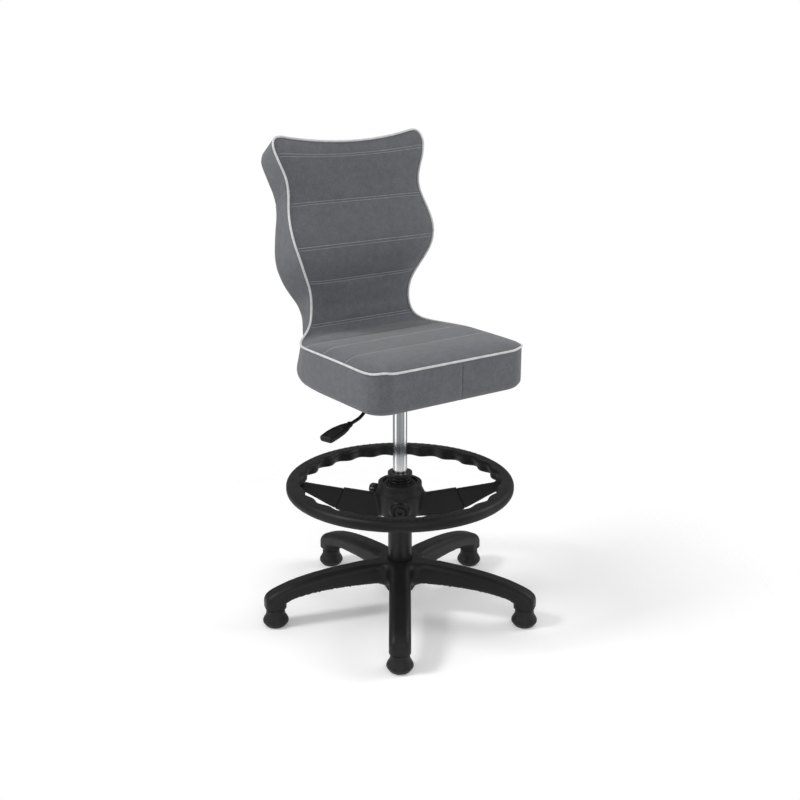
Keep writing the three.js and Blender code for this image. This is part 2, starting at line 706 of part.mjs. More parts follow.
// Front view of the backrest.
function backOutline(inset) {
  const waistHeight = seatEdgeHeight + waistRise;
  const lumbarHeight = seatEdgeHeight + lumbarRise;
  const shoulderHeight = seatEdgeHeight + shoulderRise;
  const backTopHeight = seatEdgeHeight + backTopRise;
  const shape = new THREE.Shape();
  const half = [
    [waistHalfWidth + 26 - inset, creaseHeight - 40], [waistHalfWidth + 6 - inset, creaseHeight + 6],
    [waistHalfWidth - inset, waistHeight], [waistHalfWidth + 12 - inset, waistHeight + 48],
    [lumbarHalfWidth - 11 - inset, lumbarHeight - 48], [lumbarHalfWidth - inset, lumbarHeight],
    [neckHalfWidth - inset, seatEdgeHeight + neckRise], [shoulderHalfWidth - 8 - inset, shoulderHeight - 28],
    [shoulderHalfWidth - inset, shoulderHeight],
    [shoulderHalfWidth - 5 - inset, backTopHeight - 9 - inset / 2], [shoulderHalfWidth - 16 - inset, backTopHeight - inset],
    [shoulderHalfWidth - 50 - inset, backTopHeight - 6 - inset],
    [60, backTopHeight - backTopDip + 2 - inset],
  ];
  const right = half.map(([x, z]) => new THREE.Vector2(x, z));
  const left = half.map(([x, z]) => new THREE.Vector2(-x, z)).reverse();
  shape.moveTo(right[0].x, right[0].y);
  shape.splineThru([...right.slice(1), new THREE.Vector2(0, backTopHeight - backTopDip - inset), ...left]);
  return shape;
}

// Plan view of the seat.
function seatOutline(inset) {
  const x = seatHalfWidth - inset;
  const front = seatFrontY + inset;
  const corner = seatCorner - inset;
  const rear = backRear[0][0] + 20;
  const narrow = waistHalfWidth + 5 - inset;
  const shape = new THREE.Shape();
  shape.moveTo(-x + corner, front);
  shape.lineTo(x - corner, front);
  shape.absarc(x - corner, front + corner, corner, -90 * degree, 0);
  shape.lineTo(x, 40);
  shape.bezierCurveTo(x, 100, narrow + 8, waistY - 22, narrow, waistY + 6);
  shape.lineTo(narrow, rear);
  shape.lineTo(-narrow, rear);
  shape.lineTo(-narrow, waistY + 6);
  shape.bezierCurveTo(-narrow - 8, waistY - 22, -x, 100, -x, 40);
  shape.lineTo(-x, front + corner);
  shape.absarc(-x + corner, front + corner, corner, 180 * degree, 270 * degree);
  return shape;
}

// Where the sitting face stands at a height on the backrest.
function faceDepth(height) {
  const back = facePoints.slice(stretchSteps[0] + stretchSteps[1]);
  let i = 1;
  while (i < back.length - 1 && back[i].y < height) {
    i += 1;
  }
  const share = (height - back[i - 1].y) / (back[i].y - back[i - 1].y);
  return THREE.MathUtils.lerp(back[i - 1].x, back[i].x, THREE.MathUtils.clamp(share, 0, 1));
}

// Everything inside the outline of the seat and the back. The backrest's outline lies on
// the sitting face, and its sides slope down from there to the rear.
function footprint(inset) {
  const reach = 4 * seatHalfWidth;
  const deep = new THREE.ExtrudeGeometry(backOutline(inset), { depth: reach, bevelEnabled: false, curveSegments: 2 });
  deep.translate(0, 0, -reach / 2);
  deep.rotateX(90 * degree);
  const corners = deep.getAttribute('position');
  for (let i = 0; i < corners.count; i += 1) {
    const height = corners.getZ(i);
    corners.setZ(i, height - sideSlope * (corners.getY(i) - faceDepth(height)));
  }
  const back = solid(deep).subtract(box(2 * reach, 2 * reach, 0, creaseHeight));
  const seat = upright(seatOutline(inset), 0, creaseHeight + gap / 10, 10);
  return { back, seat };
}

function makeUpholstery() {
  const outer = footprint(0);
  const inner = footprint(shellInset);
  const shellHole = (radius, low, high) => {
    let holes = null;
    for (const x of [-1, 1]) {
      for (const y of [-1, 1]) {
        const hole = disc(radius, low, high, 20).translate([x * boltSpacingX / 2, y * boltSpacingY / 2, 0]);
        holes = holes ? holes.add(hole) : hole;
      }
    }
    return holes;
  };
  const shellTop = seatEdgeHeight - shellFront * seatThickness;
  const shellBottom = seatEdgeHeight - shellRear * seatThickness;
  const flangeTop = shellTop + 4;

  const front = band(0, shellFront, 0, gap);
  const middle = band(shellFront, shellRear, 0, 0);
  const rear = band(shellRear, 1, gap, 0);
  const reach = 8 * seatHalfWidth;
  const above = (body) => body.subtract(box(reach, reach, 0, creaseHeight + gap));

  const plywoodBody = middle.intersect(inner.back.add(inner.seat));
  addMesh('seat_shell', plywoodBody.subtract(shellHole(teeNutRadius + gap, 0, shellTop + 10)), plywood);

  const seatTop = front.intersect(outer.seat).subtract(shellHole(teeNutFlangeRadius + gap, 0, flangeTop + gap));
  addMesh('seat_cushion', seatTop, fabric);
  addMesh('back_cushion', above(front.intersect(outer.back)), fabric);
  addMesh('seat_underside', rear.intersect(outer.seat).subtract(shellHole(boltRadius + 1.5, 0, shellTop)), fabric);
  addMesh('back_rear_cover', above(rear.intersect(outer.back)), fabric);

  let number = 0;
  for (const x of [-1, 1]) {
    for (const y of [-1, 1]) {
      number += 1;
      const place = [x * boltSpacingX / 2, y * boltSpacingY / 2, 0];
      const head = plateBottom - gap;
      const boltTop = shellTop - 1;
      const bolt = disc(boltHeadRadius, head - boltHeadHeight, head, 6)
        .add(disc(boltRadius, head - 1, boltTop, 20));
      addMesh(`plate_bolt_${number}`, bolt.translate(place), steel);
      const nut = turned([
        [boltRadius + gap, shellBottom + 0.5], [teeNutRadius, shellBottom + 0.5], [teeNutRadius, shellTop + 1.4],
        [teeNutFlangeRadius, shellTop + 1.4], [teeNutFlangeRadius, shellTop + 3], [boltRadius + gap, shellTop + 3],
      ], 20);
      addMesh(`tee_nut_${number}`, nut.translate(place), steel);
    }
  }
}

// ---------------------------------------------------------------- the chair

makeBase();
makeGlides();
makeColumn();
makeCylinder();
makeFootRing();
makeSeatPlate();
makeLever();
makeUpholstery();

// Move the frame's origin to the middle of the footprint.
const bounds = new THREE.Box3().setFromObject(group);
const middle = bounds.getCenter(new THREE.Vector3());
group.position.set(-Math.round(middle.x), -Math.round(middle.y), 0);

export default group;
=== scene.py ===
"""A children's high swivel chair with a backrest, a foot ring and glides, around its CAD frame."""
import math

import bpy
import numpy as np
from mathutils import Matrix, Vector
from mathutils.bvhtree import BVHTree


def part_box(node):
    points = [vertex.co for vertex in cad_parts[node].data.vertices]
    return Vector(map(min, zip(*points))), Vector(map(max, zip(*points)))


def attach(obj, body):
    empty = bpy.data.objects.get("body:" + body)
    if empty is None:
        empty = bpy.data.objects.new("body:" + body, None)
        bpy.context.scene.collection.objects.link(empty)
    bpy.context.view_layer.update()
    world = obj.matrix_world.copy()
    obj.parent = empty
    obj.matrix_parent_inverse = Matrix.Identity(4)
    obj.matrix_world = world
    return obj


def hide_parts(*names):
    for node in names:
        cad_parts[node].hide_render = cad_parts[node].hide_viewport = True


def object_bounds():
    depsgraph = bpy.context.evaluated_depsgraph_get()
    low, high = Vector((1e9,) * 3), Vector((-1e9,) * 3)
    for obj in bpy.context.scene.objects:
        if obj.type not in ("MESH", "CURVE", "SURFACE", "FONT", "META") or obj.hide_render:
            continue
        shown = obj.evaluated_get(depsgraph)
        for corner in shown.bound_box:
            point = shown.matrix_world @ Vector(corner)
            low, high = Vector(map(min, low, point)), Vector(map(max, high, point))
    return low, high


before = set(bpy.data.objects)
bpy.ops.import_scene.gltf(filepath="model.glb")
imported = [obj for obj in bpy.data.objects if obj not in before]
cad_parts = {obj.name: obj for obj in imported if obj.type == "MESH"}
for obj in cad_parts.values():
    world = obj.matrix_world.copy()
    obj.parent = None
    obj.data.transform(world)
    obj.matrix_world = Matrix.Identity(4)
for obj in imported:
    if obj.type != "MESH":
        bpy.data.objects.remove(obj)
cad_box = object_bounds()

# ---------------------------------------------------------------- the frame's places
# Shapes are worked out in millimetres from the column's axis: x to the sitter's left,
# y to the back, z up. to_row() takes them to the frame, in metres.
MM = 0.001


def box_mm(node):
    low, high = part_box(node)
    return np.array(low) / MM - ORIGIN, np.array(high) / MM - ORIGIN


tube_low, tube_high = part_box("column_tube")
ORIGIN = np.array([(tube_low.x + tube_high.x) / 2, (tube_low.y + tube_high.y) / 2, 0.0]) / MM


def to_row(points):
    return (np.asarray(points, float) + ORIGIN) * MM


TUBE_LOW, TUBE_HIGH = box_mm("column_tube")
COLUMN_RADIUS = TUBE_HIGH[0]
RIM_HIGH = box_mm("foot_ring")[1]
RIM_RADIUS = RIM_HIGH[0]
RIM_TOP = RIM_HIGH[2]
HUB_LOW, HUB_HIGH = box_mm("ring_hub")
STAR_LOW, STAR_HIGH = box_mm("base_star")
CYLINDER_LOW, CYLINDER_HIGH = box_mm("gas_cylinder")
BUSHING_LOW, BUSHING_HIGH = box_mm("guide_bushing")
CUSHION_HIGH = box_mm("seat_cushion")[1]
UNDER_LOW = box_mm("seat_underside")[0]
BACK_HIGH = box_mm("back_cushion")[1]


# ---------------------------------------------------------------- materials

def linear(red, green, blue):
    """sRGB from 0 to 255 as linear colour."""
    def one(value):
        value /= 255
        return value / 12.92 if value <= 0.04045 else ((value + 0.055) / 1.055) ** 2.4
    return one(red), one(green), one(blue), 1.0


class Finish:
    """A node material, built up with short calls."""

    def __init__(self, name):
        self.material = bpy.data.materials.new(name)
        self.material.use_nodes = True
        self.tree = self.material.node_tree
        self.shader = self.tree.nodes["Principled BSDF"]
        self.where = self.add("ShaderNodeTexCoord").outputs["Object"]

    def add(self, kind, **values):
        node = self.tree.nodes.new(kind)
        for key, value in values.items():
            setattr(node, key, value)
        return node

    def join(self, source, target):
        self.tree.links.new(source, target)

    def set(self, **values):
        for key, value in values.items():
            self.shader.inputs[key.replace("_", " ")].default_value = value

    def noise(self, scale, detail=2.0, roughness=0.5, stretch=None, where=None):
        node = self.add("ShaderNodeTexNoise")
        node.inputs["Scale"].default_value = scale
        node.inputs["Detail"].default_value = detail
        node.inputs["Roughness"].default_value = roughness
        place = where or self.where
        if stretch:
            mapping = self.add("ShaderNodeMapping")
            mapping.inputs["Scale"].default_value = stretch
            self.join(place, mapping.inputs["Vector"])
            place = mapping.outputs["Vector"]
        self.join(place, node.inputs["Vector"])
        return node.outputs["Fac"]

    def ramp(self, source, *stops):
        node = self.add("ShaderNodeValToRGB")
        ends = node.color_ramp.elements
        while len(ends) < len(stops):
            ends.new(0.5)
        for end, (place, colour) in zip(ends, stops):
            end.position = place
            end.color = colour if len(colour) == 4 else (*colour, 1.0)
        self.join(source, node.inputs["Fac"])
        return node.outputs["Color"]

    def span(self, source, low, high, from_low=0.3, from_high=0.7):
        node = self.add("ShaderNodeMapRange")
        node.inputs["From Min"].default_value = from_low
        node.inputs["From Max"].default_value = from_high
        node.inputs["To Min"].default_value = low
        node.inputs["To Max"].default_value = high
        self.join(source, node.inputs["Value"])
        return node.outputs["Result"]

    def maths(self, operation, a, b):
        node = self.add("ShaderNodeMath", operation=operation)
        for slot, value in zip(node.inputs, (a, b)):
            if isinstance(value, (int, float)):
                slot.default_value = value
            else:
                self.join(value, slot)
        return node.outputs["Value"]

    def blend(self, amount, first, second, mode="MIX"):
        node = self.add("ShaderNodeMix", data_type="RGBA", blend_type=mode)
        for name, value in (("Factor", amount), ("A", first), ("B", second)):
            kind = "VALUE" if name == "Factor" else "RGBA"
            slot = next(s for s in node.inputs if s.name == name and s.type == kind)
            if isinstance(value, bpy.types.NodeSocket):
                self.join(value, slot)
            else:
                slot.default_value = value
        return next(s for s in node.outputs if s.type == "RGBA")

    def colour(self, source):
        self.join(source, self.shader.inputs["Base Color"])

    def rough(self, source):
        self.join(source, self.shader.inputs["Roughness"])

    def bump(self, height, strength, depth):
        node = self.add("ShaderNodeBump")
        node.inputs["Strength"].default_value = strength
        node.inputs["Distance"].default_value = depth
        self.join(height, node.inputs["Height"])
        self.join(node.outputs["Normal"], self.shader.inputs["Normal"])


def shade(colour, factor):
    return tuple(min(1.0, c * factor) for c in colour[:3]) + (1.0,)


def moulded(name, colour, roughness, grain=1400.0, depth=0.00012):
    """Moulded plastic: fine spark-eroded grain, faint cloudiness and rubbed patches."""
    f = Finish(name)
    cloud = f.noise(14.0, 3.0)
    f.colour(f.ramp(cloud, (0.25, shade(colour, 0.8)), (0.6, colour), (0.85, shade(colour, 1.35))))
    f.set(Specular_IOR_Level=0.26)
    rub = f.noise(45.0, 4.0, 0.6)
    f.rough(f.span(rub, roughness - 0.05, roughness + 0.07))
    fine = f.noise(grain, 2.0, 0.6)
    f.bump(fine, 0.35, depth)
    return f.material


def metal(name, colour, roughness, stretch, scale=600.0):
    """Bare metal, with a fine directional grain."""
    f = Finish(name)
    f.set(Metallic=1.0)
    grain = f.noise(scale, 3.0, 0.55, stretch)
    cloud = f.noise(25.0, 2.0)
    f.colour(f.ramp(cloud, (0.3, shade(colour, 0.93)), (0.7, colour)))
    f.rough(f.span(grain, max(0.02, roughness - 0.04), roughness + 0.05))
    f.bump(grain, 0.15, 0.00002)
    return f.material


def woven(name, colour, pitch, contrast, sheen, depth, weave_map=True):
    """Upholstery cloth: a soft plain weave, mottled threads and a short nap."""
    f = Finish(name)
    f.set(Roughness=0.92, Sheen_Weight=sheen, Sheen_Roughness=0.45, Specular_IOR_Level=0.25)
    nap = f.noise(900.0, 3.0, 0.65)
    blotch = f.noise(70.0, 4.0, 0.6)
    mottle = f.noise(330.0, 3.0, 0.7)
    broad = f.noise(9.0, 2.0, 0.5)
    height = nap
    if weave_map:
        place = f.add("ShaderNodeUVMap", uv_map="weave").outputs["UV"]
        threads = []
        for direction in ("X", "Y"):
            wave = f.add("ShaderNodeTexWave", wave_type="BANDS", bands_direction=direction)
            wave.inputs["Scale"].default_value = 0.5 * math.pi / (10 * pitch) * 2
            wave.inputs["Distortion"].default_value = 1.5
            wave.inputs["Detail Scale"].default_value = 2.0
            f.join(place, wave.inputs["Vector"])
            threads.append(wave.outputs["Fac"])
        weave = f.maths("MULTIPLY", threads[0], threads[1])
        slub_across = f.noise(1.0, 3.0, 0.6, (260.0, 3200.0, 1.0), place)
        slub_along = f.noise(1.0, 3.0, 0.6, (3200.0, 260.0, 1.0), place)
        slubs = f.maths("MULTIPLY", f.maths("ADD", slub_across, slub_along), 0.5)
        height = f.maths("ADD", f.maths("MULTIPLY", weave, 0.6), f.maths("MULTIPLY", nap, 0.5))
        base = f.ramp(slubs, (0.38, shade(colour, 1 - contrast)), (0.5, colour),
                      (0.62, shade(colour, 1 + contrast)))
    else:
        base = f.ramp(nap, (0.35, shade(colour, 1 - contrast)), (0.65, shade(colour, 1 + contrast)))
    for patches, dark, light in (
        (blotch, (0.3, (0.9, 0.9, 0.9)), (0.7, (1.08, 1.08, 1.08))),
        (broad, (0.3, (0.95, 0.95, 0.96)), (0.7, (1.04, 1.04, 1.04))),
        (mottle, (0.35, (0.87, 0.87, 0.87)), (0.65, (1.12, 1.12, 1.12))),
    ):
        base = f.blend(1.0, base, f.ramp(patches, dark, light), "MULTIPLY")
    f.colour(base)
    f.bump(height, 0.5, depth)
    return f.material


GREY = linear(102, 103, 107)
BLACK = linear(20, 20, 21)

plastic = moulded("black_nylon", BLACK, 0.47)
plastic_glossy = moulded("black_acetal", linear(22, 22, 23), 0.3, 900.0, 0.00005)
rubbery = moulded("black_glide", linear(27, 27, 28), 0.5, 700.0, 0.00025)
painted = moulded("black_painted_steel", linear(29, 29, 30), 0.36, 1100.0, 0.00006)
rubber = moulded("rubber", linear(30, 30, 30), 0.7)
acetal = moulded("acetal", linear(225, 224, 218), 0.35)
chrome = metal("chrome", (0.80, 0.81, 0.83, 1.0), 0.13, (1.0, 1.0, 0.02), 900.0)
steel = metal("plain_steel", (0.56, 0.56, 0.57, 1.0), 0.34, (1.0, 1.0, 0.1))
cloth = woven("grey_fabric", GREY, 0.0011, 0.16, 0.25, 0.0004)
piping_cloth = woven("piping_fabric", linear(212, 212, 212), 0.0009, 0.06, 0.2, 0.0003, False)
thread = woven("thread", linear(172, 173, 176), 0.0006, 0.08, 0.15, 0.0001, False)


def plywood_finish():
    f = Finish("plywood")
    f.set(Roughness=0.6)
    grain = f.noise(60.0, 5.0, 0.6, (1.0, 1.0, 14.0))
    f.colour(f.ramp(grain, (0.3, linear(176, 140, 98)), (0.55, linear(206, 172, 126)),
                    (0.8, linear(150, 112, 74))))
    f.bump(grain, 0.3, 0.0003)
    return f.material


by_slot = {
    "black_nylon": plastic, "black_painted_steel": painted, "plain_steel": steel, "chrome": chrome,
    "rubber": rubber, "plywood": plywood_finish(), "acetal": acetal, "grey_fabric": cloth,
}
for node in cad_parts.values():
    for holder in node.material_slots:
        holder.material = by_slot[holder.material.name.split(".")[0]]


# ---------------------------------------------------------------- mesh helpers

def piece(name, points, faces, material, body, replaced=(), sharp=None):
    """A mesh object from points in millimetres, riding on a body of the frame."""
    mesh = bpy.data.meshes.new(name)
    mesh.from_pydata(to_row(points).tolist(), [], [list(map(int, f)) for f in faces])
    mesh.update()
    mesh.shade_smooth()
    if sharp is not None:
        mesh.set_sharp_from_angle(angle=math.radians(sharp))
    mesh.materials.append(material)
    made = bpy.data.objects.new(name, mesh)
    bpy.context.scene.collection.objects.link(made)
    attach(made, body)
    if replaced:
        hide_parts(*replaced)
    return made


def merged(parts):
    """Several (points, faces) pairs as one pair."""
    points, faces, count = [], [], 0
    for some_points, some_faces in parts:
        points.append(np.asarray(some_points, float))
        faces.extend([[int(i) + count for i in face] for face in some_faces])
        count += len(some_points)
    return np.concatenate(points), faces


def rounded(profile, steps=5):
    """A profile of (radius, height, corner radius) with its corners turned into arcs."""
    out = []
    for k, (r, z, corner) in enumerate(profile):
        here = np.array([r, z], float)
        if corner <= 0 or k in (0, len(profile) - 1):
            out.append(here)
            continue
        before = np.array(profile[k - 1][:2], float) - here
        after = np.array(profile[k + 1][:2], float) - here
        before_length, after_length = np.linalg.norm(before), np.linalg.norm(after)
        reach = min(corner, 0.48 * before_length, 0.48 * after_length)
        start = here + before / before_length * reach
        end = here + after / after_length * reach
        for i in range(steps + 1):
            t = i / steps
            out.append((1 - t) ** 2 * start + 2 * t * (1 - t) * here + t * t * end)
    return np.array(out)


def turned(profile, segments=64, closed=False):
    """A profile turned about the z axis. Points on the axis become poles."""
    angles = np.linspace(0, 2 * math.pi, segments, endpoint=False)
    points, rows = [], []
    for r, z in profile:
        if r < 1e-6:
            rows.append([len(points)] * segments)
            points.append((0.0, 0.0, z))
        else:
            rows.append(list(range(len(points), len(points) + segments)))
            points.extend((r * math.cos(a), r * math.sin(a), z) for a in angles)
    faces = []
    pairs = list(zip(rows, rows[1:])) + ([(rows[-1], rows[0])] if closed else [])
    for low, high in pairs:
        for i in range(segments):
            j = (i + 1) % segments
            face = [low[i], low[j], high[j], high[i]]
            face = [v for n, v in enumerate(face) if v != face[n - 1]]
            if len(face) > 2:
                faces.append(face)
    return np.array(points), faces


def tube(path, radius, sides, closed=False):
    """A round bar along a path, with domed ends unless it is closed."""
    path = np.asarray(path, float)
    count = len(path)
    if closed:
        tangents = np.roll(path, -1, 0) - np.roll(path, 1, 0)
    else:
        tangents = np.gradient(path, axis=0)
    tangents /= np.linalg.norm(tangents, axis=1)[:, None]
    side = np.cross(tangents[0], (0.3, 0.2, 1.0))
    side /= np.linalg.norm(side)
    sides_list = [side]
    for t in tangents[1:]:
        side = side - t * (side @ t)
        side /= np.linalg.norm(side)
        sides_list.append(side)
    across = np.array(sides_list)
    rise = np.cross(tangents, across)
    angles = np.linspace(0, 2 * math.pi, sides, endpoint=False)
    radii = np.full(count, float(radius)) if np.isscalar(radius) else np.asarray(radius, float)
    c, s = np.cos(angles)[None, :, None], np.sin(angles)[None, :, None]
    rings = path[:, None, :] + radii[:, None, None] * (c * across[:, None, :] + s * rise[:, None, :])
    points = rings.reshape(-1, 3)
    faces = []
    last = count if closed else count - 1
    for k in range(last):
        a, b = k * sides, ((k + 1) % count) * sides
        for i in range(sides):
            j = (i + 1) % sides
            faces.append([a + i, a + j, b + j, b + i])
    if not closed:
        tips = [path[0] - tangents[0] * radii[0] * 0.4, path[-1] + tangents[-1] * radii[-1] * 0.4]
        points = np.concatenate([points, tips])
        low, high = count * sides, count * sides + 1
        for i in range(sides):
            j = (i + 1) % sides
            faces.append([low, j, i])
            faces.append([high, (count - 1) * sides + i, (count - 1) * sides + j])
    return points, faces


def soft_min(a, b, width):
    """The smaller of two distances, with a fillet where they meet."""
    mix = np.clip(0.5 + 0.5 * (b - a) / width, 0, 1)
    return b + (a - b) * mix - width * mix * (1 - mix)


def soft_max(a, b, width):
    return -soft_min(-a, -b, width)


def iso_surface(field, low, high, step, polish=4):
    """The closed quad mesh where a distance field is zero."""
    low = np.asarray(low, float)
    counts = np.ceil((np.asarray(high, float) - low) / step).astype(int) + 1
    xs, ys, zs = (low[a] + step * np.arange(counts[a]) for a in range(3))
    values = np.empty(counts)
    x, y = np.meshgrid(xs, ys, indexing="ij")
    for k, z in enumerate(zs):
        layer = np.stack([x.ravel(), y.ravel(), np.full(x.size, z)], -1)
        values[:, :, k] = field(layer).reshape(x.shape)
    inside = values < 0
    n = counts - 1
    held = np.zeros(n, np.int8)
    for i in (0, 1):
        for j in (0, 1):
            for k in (0, 1):
                held += inside[i:i + n[0], j:j + n[1], k:k + n[2]]
    cells = np.argwhere((held > 0) & (held < 8))
    ids = np.full(n, -1)
    ids[tuple(cells.T)] = np.arange(len(cells))
    total, hits = np.zeros((len(cells), 3)), np.zeros(len(cells))
    unit = np.eye(3, dtype=int)
    for axis in range(3):
        first, second = [a for a in range(3) if a != axis]
        for p in (0, 1):
            for q in (0, 1):
                a = cells + p * unit[first] + q * unit[second]
                b = a + unit[axis]
                value_a, value_b = values[tuple(a.T)], values[tuple(b.T)]
                crossed = (value_a < 0) != (value_b < 0)
                gap = np.where(crossed, value_a - value_b, 1.0)
                t = np.where(crossed, value_a / gap, 0.0)
                total += np.where(crossed[:, None], a + t[:, None] * unit[axis], 0.0)
                hits += crossed
    points = low + step * total / hits[:, None]
    faces = []
    for axis in range(3):
        first, second = [a for a in range(3) if a != axis]
        start = [slice(None)] * 3
        stop = [slice(None)] * 3
        start[axis], stop[axis] = slice(0, -1), slice(1, None)
        starts_inside = inside[tuple(start)]
        edges = np.argwhere(starts_inside != inside[tuple(stop)])
        keep = np.all([(edges[:, a] >= 1) & (edges[:, a] <= n[a] - 1) for a in (first, second)], axis=0)
        edges = edges[keep]
        quad = np.stack([
            ids[tuple((edges - unit[first] - unit[second]).T)], ids[tuple((edges - unit[second]).T)],
            ids[tuple(edges.T)], ids[tuple((edges - unit[first]).T)],
        ], 1)
        flip = starts_inside[tuple(edges.T)] == (axis == 1)
        quad[flip] = quad[flip][:, ::-1]
        faces.append(quad)
    faces = np.concatenate(faces)
    pairs = np.concatenate([faces[:, [i, (i + 1) % 4]] for i in range(4)])
    weight = np.bincount(pairs[:, 0], minlength=len(points)) + np.bincount(pairs[:, 1], minlength=len(points))
    for _ in range(polish):
        middle = np.empty_like(points)
        for a in range(3):
            middle[:, a] = (np.bincount(pairs[:, 0], points[pairs[:, 1], a], len(points))
                            + np.bincount(pairs[:, 1], points[pairs[:, 0], a], len(points))) / weight
        points = settled(field, 0.5 * (points + middle), step)
    return points, faces


def settled(field, points, step):
    """Points moved onto the zero surface along the field's slope."""
    value = field(points)
    nudge = 0.15
    slope = np.stack([field(points + nudge * direction) - value for direction in np.eye(3)], 1) / nudge
    steep = np.maximum((slope ** 2).sum(1), 0.2)
    move = -(value / steep)[:, None] * slope
    size = np.linalg.norm(move, axis=1)
    return points + move * np.minimum(1.0, 0.6 * step / np.maximum(size, 1e-9))[:, None]


def smooth_step(value, low, high):
    t = np.clip((value - low) / (high - low), 0, 1)
    return t * t * (3 - 2 * t)


def bezier(a, b, c, d, steps):
    t = np.linspace(0, 1, steps)[:, None]
    a, b, c, d = (np.array(p, float) for p in (a, b, c, d))
    return (1 - t) ** 3 * a + 3 * t * (1 - t) ** 2 * b + 3 * t * t * (1 - t) * c + t ** 3 * d


def smooth_line(points, steps):
    """A centripetal spline through the points, which doesn't bulge at uneven spacings."""
    points = np.asarray(points, float)
    padded = np.concatenate([[2 * points[0] - points[1]], points, [2 * points[-1] - points[-2]]])
    knots = np.concatenate([[0], np.cumsum(np.linalg.norm(np.diff(padded, axis=0), axis=1) ** 0.5)])
    out = []
    for k in range(len(points) - 1):
        times = knots[k:k + 4]
        for t in np.linspace(times[1], times[2], steps, endpoint=False):
            held = padded[k:k + 4]
            for starts, ends in (([0, 1, 2], [1, 2, 3]), ([0, 1], [2, 3]), ([1], [2])):
                share = (t - times[starts]) / (times[ends] - times[starts])
                held = held[:-1] + (held[1:] - held[:-1]) * share[:, None]
            out.append(held[0])
    out.append(points[-1])
    return np.array(out)


def rounded_box(a, b, rounding):
    """Distance to a corner of that rounding, from the distances to its two sides."""
    a, b = a + rounding, b + rounding
    return np.hypot(np.maximum(a, 0), np.maximum(b, 0)) + np.minimum(np.maximum(a, b), 0) - rounding


def turn_to(points, angle):
    """Each point in a frame whose first axis points at that angle about z."""
    c, s = math.cos(math.radians(angle)), math.sin(math.radians(angle))
    return c * points[:, 0] + s * points[:, 1], -s * points[:, 0] + c * points[:, 1], points[:, 2]


# ---------------------------------------------------------------- five-star base

glide_centres = [sum(box_mm(f"glide_{number}")) / 2 for number in range(1, 6)]
GLIDE_CIRCLE = float(np.hypot(*glide_centres[0][:2]))
LEG_WIDTH = 43.0
LEG_TIP = STAR_HIGH[1]
LEG_ANGLES = [math.degrees(math.atan2(c[1], c[0])) for c in glide_centres]
STAR_TOP, STAR_BOTTOM = STAR_HIGH[2], STAR_LOW[2]
tip_inner = GLIDE_CIRCLE - LEG_WIDTH / 2

TIP = LEG_TIP - 3.0
leg_top = np.concatenate([
    [[0.0, STAR_TOP]],
    bezier((0.28 * LEG_TIP, STAR_TOP - 1), (0.5 * LEG_TIP, STAR_TOP - 6), (0.65 * LEG_TIP, STAR_TOP - 11),
           (0.82 * TIP, STAR_TOP - 24.5), 24),
    bezier((0.82 * TIP, STAR_TOP - 24.5), (0.93 * TIP, STAR_TOP - 35.5), (TIP, STAR_TOP - 42),
           (TIP, STAR_BOTTOM + 14), 20)[1:],
    [[TIP, STAR_BOTTOM - 26]],
])
ARCH = STAR_TOP - 48
leg_under = np.concatenate([
    [[tip_inner, STAR_BOTTOM - 26]],
    bezier((tip_inner, 50), (0.9 * tip_inner, ARCH - 3), (0.62 * tip_inner, ARCH + 4), (75, ARCH), 24),
    [[33, ARCH - 2], [28, 52], [-60, 52], [-60, STAR_TOP]],
])


def distance_map(outline, low, high, step):
    """Signed distance to a closed outline, sampled on a plane grid, for looking up."""
    xs = np.arange(low[0], high[0] + step, step)
    zs = np.arange(low[1], high[1] + step, step)
    gx, gz = np.meshgrid(xs, zs, indexing="ij")
    spots = np.stack([gx.ravel(), gz.ravel()], -1)
    best = np.full(len(spots), 1e9)
    inside = np.zeros(len(spots), bool)
    for a, b in zip(outline, np.roll(outline, -1, 0)):
        edge = b - a
        length = edge @ edge
        if length < 1e-9:
            continue
        t = np.clip(((spots - a) @ edge) / length, 0, 1)
        best = np.minimum(best, np.linalg.norm(spots - a - t[:, None] * edge, axis=1))
        if a[1] != b[1]:
            crosses = (a[1] > spots[:, 1]) != (b[1] > spots[:, 1])
            at = a[0] + (spots[:, 1] - a[1]) * (b[0] - a[0]) / (b[1] - a[1])
            inside ^= crosses & (spots[:, 0] < at)
    grid = np.where(inside, -best, best).reshape(gx.shape)

    def look(x, z):
        fx = np.clip((x - low[0]) / step, 0, grid.shape[0] - 1.001)
        fz = np.clip((z - low[1]) / step, 0, grid.shape[1] - 1.001)
        i, j = fx.astype(int), fz.astype(int)
        u, v = fx - i, fz - j
        return ((grid[i, j] * (1 - u) + grid[i + 1, j] * u) * (1 - v)
                + (grid[i, j + 1] * (1 - u) + grid[i + 1, j + 1] * u) * v)
    return look


leg_side = distance_map(np.concatenate([leg_top, leg_under]), (-10, 10), (310, 130), 1.0)
leg_roof = distance_map(np.concatenate([leg_top[:-1], [[TIP, -200], [-60, -200], [-60, STAR_TOP]]]),
                        (-10, 10), (310, 130), 1.0)


def leg_field(points, angle):
    r, q, z = turn_to(points, angle)
    side = leg_side(r, z)
    half = LEG_WIDTH / 2 + 1.2 * np.clip(1 - r / LEG_TIP, 0, 1)
    solid = rounded_box(side, np.abs(q) - half, 14.0)
    ends = np.maximum(50 - r, r - (tip_inner - 5.5))
    hollow = soft_max(soft_max(leg_roof(r, z) + 6.0, np.abs(q) - half + 5.5, 4.0), ends, 3.0)
    for rib in (114.0, 180.0):
        hollow = np.maximum(hollow, 2.2 - np.abs(r - rib))
    hollow = np.maximum(hollow, z - STAR_TOP + 15)
    return np.where(r > -20, solid, np.hypot(points[:, 0], points[:, 1]) - 20), hollow


